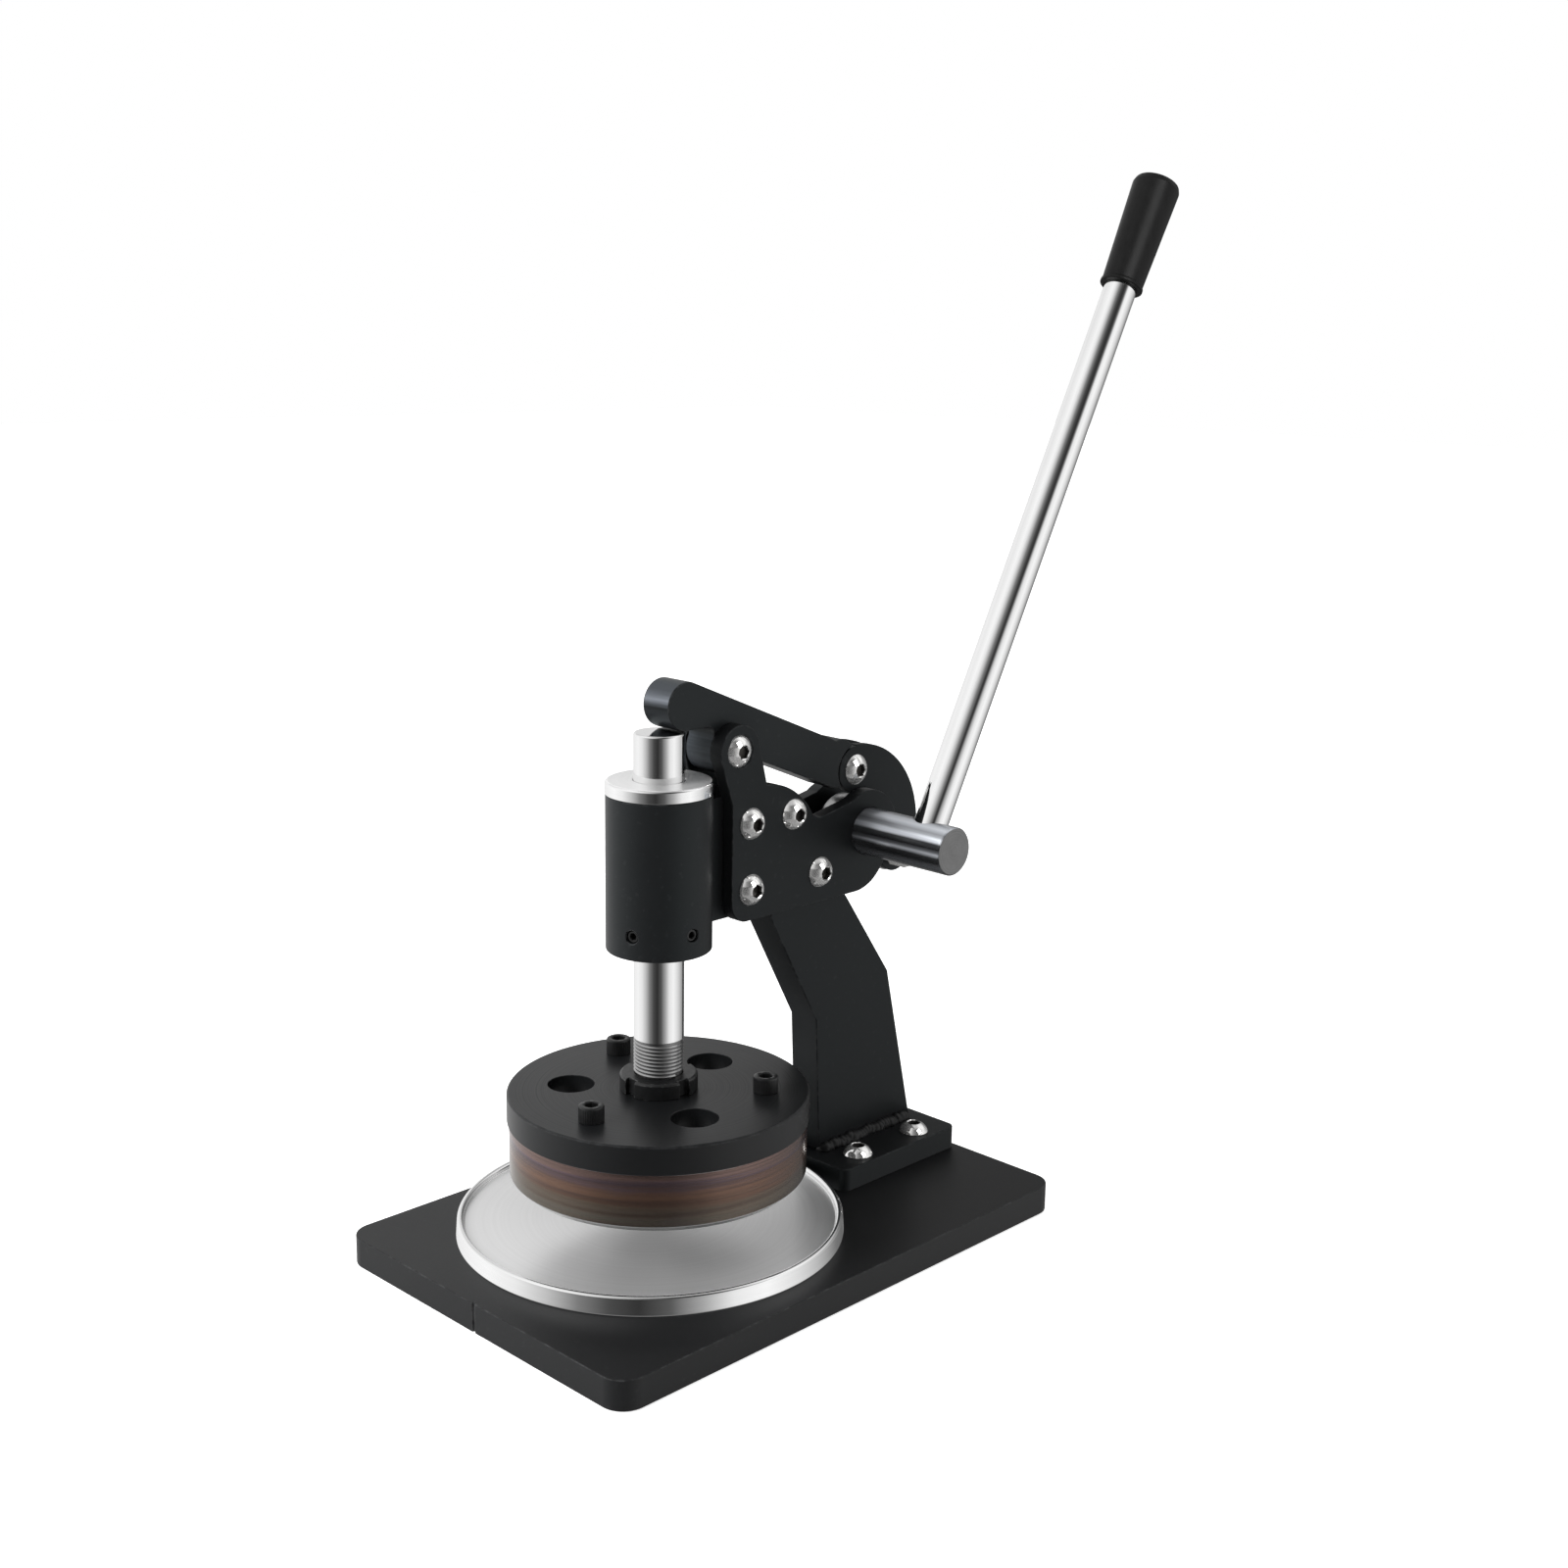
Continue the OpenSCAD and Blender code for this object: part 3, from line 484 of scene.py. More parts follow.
@dataclass(frozen=True)
class SheenPaintedLever(SatinBlack):
    """The rocker's black, with painted highlight bands round its nose and a painted grey sheen on
    the front of its hub.
    """

    nose: Pair = (-22.8, 226.1)
    nose_r: float = 9.5
    nose_fade: Pair = (2.0, -7.0)
    hub: Pair = ROCKER_PIVOT
    front_fade: Pair = (-5.0, -8.5)
    low_fade: Pair = (8.0, 5.0)
    tongue_fade: Pair = (6.9, 6.5)
    hair_scales: Point = (40.0, 900.0, 900.0)
    # the two streaked tones of the painted sheen on the hub's front
    dull: tuple[Colour, Colour] = ((0.016, 0.019, 0.023, 1.0), (0.055, 0.062, 0.072, 1.0))
    blued: Point = (0.9, 0.97, 1.1)
    painted_highlight_bands: tuple[Pair, ...] = (
        (0.02, 0.040),
        (0.14, 0.016),
        (0.36, 0.013),
        (0.47, 0.005),
        (0.55, 0.04),
        (0.64, 0.15),
        (0.72, 0.09),
        (0.84, 0.05),
        (1.0, 0.05),
    )

    def coat(self, graph: Graph) -> Coat:
        """Mix the paint, then the painted nose highlight and the hub's painted sheen.

        Args:
            graph: The material's node tree.

        Returns:
            What each socket gets.
        """
        coat = super().coat(graph)
        x, y, z = graph.split(graph.place())
        tip = y.between(*((self.nose[0] + fade) * MM for fade in self.nose_fade))
        front = y.between(*((self.hub[0] + fade) * MM for fade in self.front_fade))
        low = z.between(*((self.hub[1] + fade) * MM for fade in self.low_fade))
        inside = (x * x).between(*((half * MM) ** 2 for half in self.tongue_fade))
        hair = graph.drawn(self.hair_scales)
        rise = (z - (self.nose[1] - self.nose_r) * MM) / (2 * self.nose_r * MM)
        # painted highlight: a light band with a dark line under it across the nose, by height
        band = graph.ramp(rise + hair.sway(0.12), tinted_stops(self.painted_highlight_bands, self.blued))
        # the nose's mask: painted highlight colour, and a little more metallic and glossy
        bare = tip * inside
        # painted sheen: the hub's front is made a lighter, streaked grey-blue
        dull = graph.blend(hair, *self.dull)
        paint = graph.blend(front * low * inside * 0.8, coat["Base Color"], dull)
        coat["Base Color"] = graph.blend(bare, paint, band)
        coat["Metallic"] = bare * 0.35
        coat["Roughness"] = coat["Roughness"] - bare * 0.04
        return coat


@dataclass(frozen=True)
class TurnedBlack(Finish):
    """Black oxide on turned steel, with fine rings round the ram's axis."""

    tone: float = 0.0065
    roughness: float = 0.34
    gloss: float = 0.3
    centre: Pair = RAM_AXIS
    pitch: float = 1500.0
    cloud_scale: float = 22.0
    wear_scale: float = 240.0

    def coat(self, graph: Graph) -> Coat:
        """Mix the oxide.

        Args:
            graph: The material's node tree.

        Returns:
            What each socket gets.
        """
        spot = graph.place()
        x, y, _ = graph.split(spot)
        rings = graph.lines(graph.radius(x, y, self.centre), self.pitch, 3.0)
        cloud = graph.noise(spot, self.cloud_scale, 4.0, 0.6)
        patchy = graph.noise(spot, self.wear_scale, 3.0, 0.7).between(0.4, 0.65)
        worn = graph.rubbed() * patchy * 0.6
        oxide = graph.blend(cloud, grey(self.tone * 0.8, 0.0006), grey(self.tone * 1.25, 0.0012))
        return {
            "Base Color": graph.blend(worn, oxide, grey(self.tone * 4.0, 0.002)),
            "Roughness": self.roughness + rings.sway(0.22) + cloud.sway(0.1),
            "Normal": graph.bump(rings, 0.25, 0.012),
            "Specular IOR Level": self.gloss,
        }


@dataclass(frozen=True)
class OxideScrew(Finish):
    """Black oxide of the small screws and the lock nut."""

    tone: float = 0.006
    roughness: float = 0.38
    gloss: float = 0.5
    mottle_scale: float = 320.0

    def coat(self, graph: Graph) -> Coat:
        """Mix the oxide.

        Args:
            graph: The material's node tree.

        Returns:
            What each socket gets.
        """
        mottle = graph.noise(graph.place(), self.mottle_scale, 4.0, 0.65)
        worn = graph.rubbed() * mottle.between(0.45, 0.62)
        tint = graph.blend(mottle, grey(self.tone * 0.6), grey(self.tone * 1.6, 0.001))
        tint = graph.blend(worn, tint, grey(self.tone * 6.0))
        # painted shade: the socket's walls and floor are painted darker, and made rougher
        socket_shade = graph.sooted()
        return {
            "Base Color": graph.blend(socket_shade, tint, grey(self.tone * 0.2)),
            "Roughness": self.roughness + mottle.sway(0.25) + socket_shade * 0.4,
            "Normal": graph.bump(mottle, 0.2, 0.02),
            "Specular IOR Level": self.gloss,
        }


@dataclass(frozen=True)
class Chrome(Finish):
    """Polished hard chrome, with faint polishing lines along one axis."""

    tone: float = 0.86
    roughness: float = 0.07
    along: Point = (60.0, 60.0, 1600.0)
    haze_scale: float = 45.0

    def coat(self, graph: Graph) -> Coat:
        """Mix the chrome.

        Args:
            graph: The material's node tree.

        Returns:
            What each socket gets.
        """
        hair = graph.drawn(self.along, 3.0)
        haze = graph.noise(graph.place(), self.haze_scale, 3.0)
        return {
            "Base Color": graph.blend(haze, grey(self.tone * 0.97), grey(self.tone * 1.02)),
            "Roughness": self.roughness + hair.sway(0.05) + haze.sway(0.03),
            "Normal": graph.bump(hair, 0.04, 0.01),
            "Metallic": 1.0,
        }


@dataclass(frozen=True)
class RamChrome(Chrome):
    """The ram's chrome, which ends where its thread is cut."""

    thread_top: float = 93.5
    fade: float = 0.1
    root: float = 0.34
    root_rough: float = 0.3

    def coat(self, graph: Graph) -> Coat:
        """Mix the chrome, then the bare root of the thread.

        Args:
            graph: The material's node tree.

        Returns:
            What each socket gets.
        """
        coat = super().coat(graph)
        z = graph.split(graph.place())[2]
        cut = z.between((self.thread_top + self.fade) * MM, (self.thread_top - self.fade) * MM)
        coat["Base Color"] = graph.blend(cut, coat["Base Color"], grey(self.root))
        coat["Roughness"] = coat["Roughness"] + cut * self.root_rough
        return coat


@dataclass(frozen=True)
class TurnedSteel(Finish):
    """Bright turned steel, with rings round an upright axis."""

    tone: float = 0.74
    roughness: float = 0.24
    centre: Pair = RAM_AXIS
    pitch: float = 900.0
    stretch: float = 0.7
    metal: float = 1.0
    climb: float = 0.7
    lay: float = 0.25
    haze_scale: float = 30.0

    def coat(self, graph: Graph) -> Coat:
        """Mix the steel.

        Args:
            graph: The material's node tree.

        Returns:
            What each socket gets.
        """
        spot = graph.place()
        x, y, z = graph.split(spot)
        out = graph.radius(x, y, self.centre)
        rings = graph.lines(out + z * self.climb, self.pitch, 3.0)
        haze = graph.noise(spot, self.haze_scale, 3.0)
        return {
            "Base Color": graph.blend(rings, grey(self.tone * 0.94), grey(self.tone * 1.04)),
            "Roughness": self.roughness + rings.sway(0.08) + haze.sway(0.05),
            "Normal": graph.bump(rings, 0.02, 0.004),
            "Metallic": self.metal,
            "Anisotropic": self.stretch,
            "Anisotropic Rotation": self.lay,
        }


@dataclass(frozen=True)
class FacedBush(TurnedSteel):
    """The bush's turned steel, duller on its faced top."""

    top_z: float = 197.7
    top_fade: Pair = (0.25, 0.05)
    top_rough: float = 0.36
    top_metal: float = 0.7

    def coat(self, graph: Graph) -> Coat:
        """Mix the turned steel, then the top.

        Args:
            graph: The material's node tree.

        Returns:
            What each socket gets.
        """
        coat = super().coat(graph)
        z = graph.split(graph.place())[2]
        top = z.between(*((self.top_z - fade) * MM for fade in self.top_fade))
        coat["Roughness"] = coat["Roughness"] * (1.0 - top) + top * self.top_rough
        coat["Metallic"] = 1.0 - top * (1.0 - self.top_metal)
        return coat


@dataclass(frozen=True)
class TrayTurning(TurnedSteel):
    """The tray's turned floor, dull, inside its polished rim."""

    rim_r: float = 74.7
    rim_fade: float = 0.3
    rim_rough: float = 0.13

    def coat(self, graph: Graph) -> Coat:
        """Mix the floor, then the rim.

        Args:
            graph: The material's node tree.

        Returns:
            What each socket gets.
        """
        coat = super().coat(graph)
        x, y, _ = graph.split(graph.place())
        out = graph.radius(x, y, self.centre)
        rim = out.between((self.rim_r - self.rim_fade) * MM, (self.rim_r + self.rim_fade) * MM)
        coat["Roughness"] = coat["Roughness"] * (1.0 - rim) + rim * self.rim_rough
        coat["Metallic"] = self.metal + rim * (1.0 - self.metal)
        return coat


@dataclass(frozen=True)
class HeatTint(Finish):
    """Hardened blade steel: heat colours, grinding lines, and a bright ground edge with a painted
    highlight on its rounded edges.
    """

    roughness: float = 0.16
    edge_z: float = 39.9
    edge_fade: float = 0.12
    edge_highlight_tone: float = 0.62
    top_z: float = 61.0
    metal: float = 0.78
    streak_scales: Point = (7.0, 7.0, 800.0)
    cloud_scales: Point = (26.0, 26.0, 120.0)
    band_scales: Point = (9.0, 9.0, 420.0)
    burnt: Colour = (0.058, 0.042, 0.036, 1.0)
    violet: Colour = (0.105, 0.086, 0.105, 1.0)
    tints: Stops = (
        (0.0, (0.112, 0.100, 0.084, 1.0)),
        (0.3, (0.118, 0.092, 0.070, 1.0)),
        (0.5, (0.150, 0.088, 0.062, 1.0)),
        (0.66, (0.128, 0.080, 0.064, 1.0)),
        (0.8, (0.108, 0.080, 0.100, 1.0)),
        (0.93, (0.170, 0.112, 0.100, 1.0)),
    )

    def coat(self, graph: Graph) -> Coat:
        """Mix the tinted steel.

        Args:
            graph: The material's node tree.

        Returns:
            What each socket gets.
        """
        z = graph.split(graph.place())[2]
        streak = graph.drawn(self.streak_scales, 5.0, 0.7)
        cloud = graph.drawn(self.cloud_scales, 3.0)
        band = graph.drawn(self.band_scales, 3.0)
        up = (z - self.edge_z * MM) / ((self.top_z - self.edge_z) * MM)
        tint = graph.ramp(up + band.sway(0.6) + streak.sway(0.45), self.tints)
        tint = graph.blend(streak.between(0.4, 0.64) * 0.6, tint, self.burnt)
        tint = graph.blend(cloud.between(0.55, 0.8) * 0.4, tint, self.violet)
        # bare ground steel at the cutting edge, and a painted highlight on every rounded edge:
        # light grey and fully metallic
        ground = z.between((self.edge_z + self.edge_fade) * MM, (self.edge_z - self.edge_fade) * MM)
        ground = ground.maths("MAXIMUM", ground, graph.rubbed())
        return {
            "Base Color": graph.blend(ground, tint, grey(self.edge_highlight_tone)),
            "Roughness": self.roughness + streak.sway(0.14),
            "Normal": graph.bump(streak, 0.06, 0.02),
            "Metallic": self.metal + ground * (1.0 - self.metal),
        }


@dataclass(frozen=True)
class PlatedScrew(Finish):
    """Bright plating of the socket screws and nuts."""

    bright: Colour = grey(0.88 * 1.05)
    warm: Colour = (0.80, 0.79, 0.77, 1.0)
    # painted shade colour for the socket
    socket_shade_colour: Colour = (0.05, 0.047, 0.043, 1.0)
    roughness: float = 0.06
    metal: float = 0.86
    mottle_scale: float = 180.0

    def coat(self, graph: Graph) -> Coat:
        """Mix the plating.

        Args:
            graph: The material's node tree.

        Returns:
            What each socket gets.
        """
        mottle = graph.noise(graph.place(), self.mottle_scale, 3.0)
        # painted shade in the socket: darker colour, and a rougher surface
        socket_shade = graph.sooted()
        tint = graph.blend(mottle, self.warm, self.bright)
        return {
            "Base Color": graph.blend(socket_shade, tint, self.socket_shade_colour),
            "Roughness": self.roughness + mottle.sway(0.03) + socket_shade * 0.25,
            "Metallic": self.metal,
        }


@dataclass(frozen=True)
class GroundShaft(Finish):
    """Ground steel of the handle shaft: painted reflection streaks and shade along it, facing marks
    on its end.
    """

    end_x: float = 59.9
    end_fade: float = 0.12
    plate_x: float = 13.5
    # how far from the plate the painted shade reaches
    plate_shade_reach: float = 16.0
    axis: Pair = SHAFT_AXIS
    radius: float = 10.0
    lay: float = 17.5
    mark_pitch: float = 1700.0
    stain_scale: float = 240.0
    drift_scales: Point = (16.0, 90.0, 90.0)
    side_rough: float = 0.22
    end_rough: float = 0.46
    side_metal: float = 0.4
    blued: Point = (0.93, 0.97, 1.04)
    # painted reflection streaks: (place round the shaft, level) pairs
    painted_reflection_streaks: tuple[Pair, ...] = (
        (0.0, 0.03),
        (0.10, 0.09),
        (0.19, 0.015),
        (0.29, 0.02),
        (0.35, 0.42),
        (0.39, 0.12),
        (0.45, 0.015),
        (0.55, 0.06),
        (0.60, 0.9),
        (0.66, 1.0),
        (0.71, 0.42),
        (0.77, 0.28),
        (0.86, 0.62),
        (0.94, 0.5),
        (1.0, 0.12),
    )

    def coat(self, graph: Graph) -> Coat:
        """Mix the shaft's side and its faced end.

        Args:
            graph: The material's node tree.

        Returns:
            What each socket gets.
        """
        spot = graph.place()
        x, y, z = graph.split(spot)
        face = x.between((self.end_x - self.end_fade) * MM, self.end_x * MM)
        marks = graph.lines(graph.radius(y, z, self.axis), self.mark_pitch, 3.0)
        stain = graph.noise(spot, self.stain_scale, 4.0, 0.65)
        turn = math.radians(self.lay)
        upward = (z - self.axis[1] * MM) * math.cos(turn)
        across = upward + (y - self.axis[0] * MM) * math.sin(turn)
        drift = graph.drawn(self.drift_scales)
        height = across / (2 * self.radius * MM) + (0.5 + drift.sway(0.07))
        # painted reflection: light and dark streaks round the shaft, fixed to it
        painted_reflection = graph.ramp(height, tinted_stops(self.painted_reflection_streaks, self.blued))
        # painted shade: the shaft is darkened towards the side plate
        plate_shade = x.between((self.plate_x + self.plate_shade_reach) * MM, self.plate_x * MM)
        painted_reflection = graph.blend(plate_shade * 0.6, painted_reflection, grey(0.035, 0.004))
        dull = graph.blend(marks * 0.6 + stain * 0.4, grey(0.14), grey(0.34))
        faced = self.end_rough + marks.sway(0.2)
        return {
            "Base Color": graph.blend(face, painted_reflection, dull),
            "Roughness": (1.0 - face) * self.side_rough + faced * face,
            "Normal": graph.bump(marks * face, 0.25, 0.012),
            "Metallic": self.side_metal + face * (1.0 - self.side_metal),
        }


@dataclass(frozen=True)
class WeldSkin(Finish):
    """Rough black paint over the weld beads."""

    slag_scale: float = 520.0
    roughness: float = 0.36
    gloss: float = 0.26

    def coat(self, graph: Graph) -> Coat:
        """Mix the painted weld.

        Args:
            graph: The material's node tree.

        Returns:
            What each socket gets.
        """
        slag = graph.noise(graph.place(), self.slag_scale, 5.0, 0.7)
        return {
            "Base Color": graph.blend(slag, grey(0.003), grey(0.009, 0.001)),
            "Roughness": self.roughness + slag.sway(0.3),
            "Normal": graph.bump(slag, 0.4, 0.3),
            "Specular IOR Level": self.gloss,
        }


@dataclass(frozen=True)
class BushBronze(Finish):
    """Turned bearing bronze."""

    centre: Pair = RAM_AXIS
    pitch: float = 1200.0
    climb: float = 0.5
    tarnish_scale: float = 90.0
    roughness: float = 0.3
    dark: Colour = (0.50, 0.33, 0.13, 1.0)
    light: Colour = (0.62, 0.44, 0.20, 1.0)
    tarnished: Colour = (0.24, 0.15, 0.07, 1.0)

    def coat(self, graph: Graph) -> Coat:
        """Mix the bronze.

        Args:
            graph: The material's node tree.

        Returns:
            What each socket gets.
        """
        spot = graph.place()
        x, y, z = graph.split(spot)
        out = graph.radius(x, y, self.centre)
        rings = graph.lines(out + z * self.climb, self.pitch, 3.0)
        tarnish = graph.noise(spot, self.tarnish_scale, 4.0, 0.6)
        metal = graph.blend(rings, self.dark, self.light)
        return {
            "Base Color": graph.blend(tarnish * 0.5, metal, self.tarnished),
            "Roughness": self.roughness + rings.sway(0.2),
            "Normal": graph.bump(rings, 0.15, 0.01),
            "Metallic": 1.0,
        }


@dataclass(frozen=True)
class GripVinyl(Finish):
    """Soft dipped vinyl of the grip, with faint drawn lines along it."""

    lean: float = HANDLE_LEAN
    line_scales: Point = (420.0, 420.0, 16.0)
    skin_scale: float = 900.0
    roughness: float = 0.38
    gloss: float = 0.1

    def coat(self, graph: Graph) -> Coat:
        """Mix the vinyl.

        Args:
            graph: The material's node tree.

        Returns:
            What each socket gets.
        """
        spot = graph.place()
        turn = (math.radians(self.lean), 0.0, 0.0)
        inputs = {"Vector": spot, "Rotation": turn, "Scale": self.line_scales}
        along = graph.get("ShaderNodeMapping", {"vector_type": "POINT"}, inputs)
        drawn = graph.noise(along, 1.0, 3.0)
        skin = graph.noise(spot, self.skin_scale, 3.0, 0.6)
        return {
            "Base Color": graph.blend(drawn, grey(0.003), grey(0.007)),
            "Roughness": self.roughness + drawn.sway(0.14) + skin.sway(0.08),
            "Normal": graph.bump(drawn * 0.6 + skin * 0.4, 0.2, 0.03),
            "Specular IOR Level": self.gloss,
        }


class Finishes:
    """The finishes of the cutter."""

    PAINT = SatinBlack("satin_black_paint", Slot.BLACK_STEEL)
    BASE_BLACK = SatinBlack(
        "base_black_paint",
        Slot.BLACK_STEEL,
        tone=0.0085,
        roughness=0.4,
        gloss=0.28,
        rub=0.6,
        sheen=grey(1.0),
    )
    LEVER_BLACK = SheenPaintedLever("rocker_black", Slot.BLACK_STEEL, roughness=0.36, gloss=0.2, rub=0.7)
    SLEEVE_BLACK = SatinBlack("sleeve_black", Slot.BLACK_STEEL, roughness=0.4, gloss=0.22)
    DIE_BLACK = TurnedBlack("die_black_oxide", Slot.BLACK_OXIDE)
    SCREW_BLACK = OxideScrew("screw_black_oxide", Slot.BLACK_OXIDE)
    RAM_CHROME = RamChrome("ram_chrome", Slot.HARD_CHROME)
    ROD_CHROME = Chrome(
        "rod_chrome", Slot.HARD_CHROME, tone=0.88, roughness=0.06, along=(400.0, 60.0, 60.0)
    )
    THREAD_STEEL = Chrome("thread_steel", Slot.HARD_CHROME, tone=0.42, roughness=0.3)
    TRAY_STEEL = TrayTurning(
        "tray_steel",
        Slot.TURNED_STEEL,
        tone=0.92,
        roughness=0.36,
        centre=TRAY_CENTRE,
        pitch=700.0,
        metal=0.84,
    )
    BUSH_STEEL = FacedBush("bush_steel", Slot.TURNED_STEEL, tone=0.92, roughness=0.12, stretch=0.4)
    SPRING_STEEL = TurnedSteel(
        "spring_steel", Slot.TURNED_STEEL, tone=0.45, roughness=0.3, stretch=0.0
    )
    BLADE_STEEL = HeatTint("heat_tinted_blade", Slot.TINTED_STEEL)
    SCREW_BRIGHT = PlatedScrew("bright_plating", Slot.BRIGHT_SCREW)
    SHAFT_STEEL = GroundShaft("ground_shaft", Slot.TURNED_STEEL)
    WELD_BLACK = WeldSkin("painted_weld", Slot.BLACK_STEEL)
    BRONZE = BushBronze("bush_bronze_turned", Slot.BUSH_BRONZE)
    VINYL = GripVinyl("grip_vinyl_skin", Slot.GRIP_VINYL)


@dataclass(frozen=True)
class Ring:
    """One ring of a turned piece: its radius, or half its width across flats, and its height."""

    radius: float
    height: float
    shape: RingShape = RingShape.ROUND
    # painted shade of a screw's socket, 0 to 1, kept on the ring's vertices
    socket_shade: float = 0.0

    def reach(self, angle: float) -> float:
        """Work out the ring's radius in one direction.

        Args:
            angle: The direction, in radians.

        Returns:
            The radius there.
        """
        if self.shape is RingShape.HEX:
            return self.radius / math.cos((angle + math.pi / 6) % (math.pi / 3) - math.pi / 6)
        if self.shape is RingShape.KNURLED:
            return self.radius - KNURL_DEPTH * (0.5 + 0.5 * math.cos(KNURLS * angle))
        return self.radius


def outline(*corners: tuple[float, float, float], steps: int = 4) -> list[Ring]:
    """Round the corners of a turned profile.

    Args:
        corners: (radius, height, rounding) of each corner, in order.
        steps: Faces over each rounding.

    Returns:
        The rings of the rounded profile.
    """
    rings: list[Ring] = []
    for i, (radius, height, rounding) in enumerate(corners):
        here = Vector((radius, height))
        if rounding <= 0 or i in (0, len(corners) - 1):
            rings.append(Ring(radius, height))
            continue
        to_last = (Vector(corners[i - 1][:2]) - here).normalized()
        to_next = (Vector(corners[i + 1][:2]) - here).normalized()
        half = to_last.angle(to_next) / 2
        run = rounding / math.tan(half)
        middle = here + (to_last + to_next).normalized() * (rounding / math.sin(half))
        first = here + to_last * run - middle
        last = here + to_next * run - middle
        for k in range(steps + 1):
            ray = first.lerp(last, k / steps).normalized() * rounding
            rings.append(Ring(middle.x + ray.x, middle.y + ray.y))
    return rings


def bushing(radii: Pair, heights: Pair, inner: Pair, outer: Pair) -> list[Ring]:
    """Round the profile of a plain bush.

    Args:
        radii: Radius of its bore and of its outside.
        heights: Height of its lower and of its upper face.
        inner: Rounding of the bore's lower and upper edge.
        outer: Rounding of the outside's lower and upper edge.

    Returns:
        The rings of the closed profile, which starts half way up the bore.
    """
    bore, wide = radii
    low, high = heights
    return outline(
        (bore, (low + high) / 2, 0.0),
        (bore, low, inner[0]),
        (wide, low, outer[0]),
        (wide, high, outer[1]),
        (bore, high, inner[1]),
        (bore, (low + high) / 2 + BORE_SEAM, 0.0),
    )


def plain_copy(holder: bpy.types.Object) -> bpy.types.Mesh:
    """Turn an object's evaluated shape into a plain mesh.

    Args:
        holder: The object with its modifiers.

    Returns:
        The new mesh.
    """
    graph = bpy.context.evaluated_depsgraph_get()
    return bpy.data.meshes.new_from_object(
        holder.evaluated_get(graph), preserve_all_data_layers=True, depsgraph=graph
    )


def polished(mesh: bpy.types.Mesh, sharp: float = 38.0) -> bpy.types.Mesh:
    """Give a mesh smooth shading that keeps flats flat and sharp edges sharp.

    Args:
        mesh: The mesh, which is used up.
        sharp: Angle in degrees from which an edge stays sharp.

    Returns:
        The finished mesh.
    """
    mesh.shade_smooth()
    mesh.set_sharp_from_angle(angle=math.radians(sharp))
    holder = bpy.data.objects.new("polish", mesh)
    bpy.context.scene.collection.objects.link(holder)
    weigh = holder.modifiers.new("weigh", "WEIGHTED_NORMAL")
    weigh.keep_sharp = True
    weigh.weight = 90
    done = plain_copy(holder)
    bpy.data.objects.remove(holder)
    bpy.data.meshes.remove(mesh)
    return done


def turned(
    name: str, rings: Sequence[Ring], place: Matrix, segments: int = 96, closed: bool = False
) -> bpy.types.Mesh:
    """Turn a profile round its axis.

    Args:
        name: Name of the mesh.
        rings: The profile, in millimetres.
        place: Where the axis goes, in millimetres.
        segments: Faces round the axis.
        closed: Whether the last ring joins the first one, as in a hollow ring.

    Returns:
        The mesh, in metres.
    """
    bm = bmesh.new()
    # each ring's painted socket shade is kept on its vertices
    socket_shade = bm.verts.layers.float.new("sooted")
    rows: list[list[bmesh.types.BMVert]] = []
    for ring in rings:
        row = []
        for k in range(segments if ring.radius > 1e-6 else 1):
            angle = 2 * math.pi * k / segments
            reach = ring.reach(angle)
            spot = (reach * math.cos(angle), reach * math.sin(angle), ring.height)
            row.append(bm.verts.new(spot))
        for vert in row:
            vert[socket_shade] = ring.socket_shade
        rows.append(row)
    pairs = list(zip(rows, rows[1:]))
    if closed:
        pairs.append((rows[-1], rows[0]))
    for low, high in pairs:
        if len(low) == 1 and len(high) == 1:
            continue
        for k in range(segments):
            n = (k + 1) % segments
            if len(low) == 1:
                bm.faces.new((low[0], high[n], high[k]))
            elif len(high) == 1:
                bm.faces.new((low[k], low[n], high[0]))
            else:
                bm.faces.new((low[k], low[n], high[n], high[k]))
    bmesh.ops.transform(bm, matrix=Matrix.Scale(MM, 4) @ place, verts=bm.verts)
    bmesh.ops.recalc_face_normals(bm, faces=bm.faces)
    mesh = bpy.data.meshes.new(name)
    bm.to_mesh(mesh)
    bm.free()
    return polished(mesh)


def softened(node: str, edge: float, steps: int = 2, sharp: float = 30.0) -> bpy.types.Mesh:
    """Copy a CAD node and round its sharp edges.

    Args:
        node: The node to copy.
        edge: Width of the rounding, in millimetres.
        steps: Faces over the rounding.
        sharp: Angle in degrees from which an edge is rounded.

    Returns:
        The rounded mesh; its new faces carry the attribute for edge wear and, on the blade, a
        painted edge highlight.
    """
    bm = bmesh.new()
    bm.from_mesh(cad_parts[node].data)
    bmesh.ops.remove_doubles(bm, verts=bm.verts, dist=MERGE_REACH * MM)
    bmesh.ops.dissolve_degenerate(bm, edges=bm.edges, dist=SLIVER_REACH * MM)
    flat = math.radians(FLAT_ANGLE)
    bmesh.ops.dissolve_limit(bm, angle_limit=flat, verts=bm.verts, edges=bm.edges)
    bmesh.ops.recalc_face_normals(bm, faces=bm.faces)
    layer = bm.faces.layers.float.new("rubbed")
    limit = math.radians(sharp)
    edges = [e for e in bm.edges if e.is_manifold and e.calc_face_angle(0.0) > limit]
    made = bmesh.ops.bevel(
        bm,
        geom=edges,
        offset=edge * MM,
        offset_type="OFFSET",
        segments=steps,
        profile=0.5,
        affect="EDGES",
        clamp_overlap=False,
        loop_slide=True,
    )
    for face in made["faces"]:
        face[layer] = 1.0
    mesh = bpy.data.meshes.new(node + "_rounded")
    bm.to_mesh(mesh)
    bm.free()
    mesh.materials.clear()
    return polished(mesh)


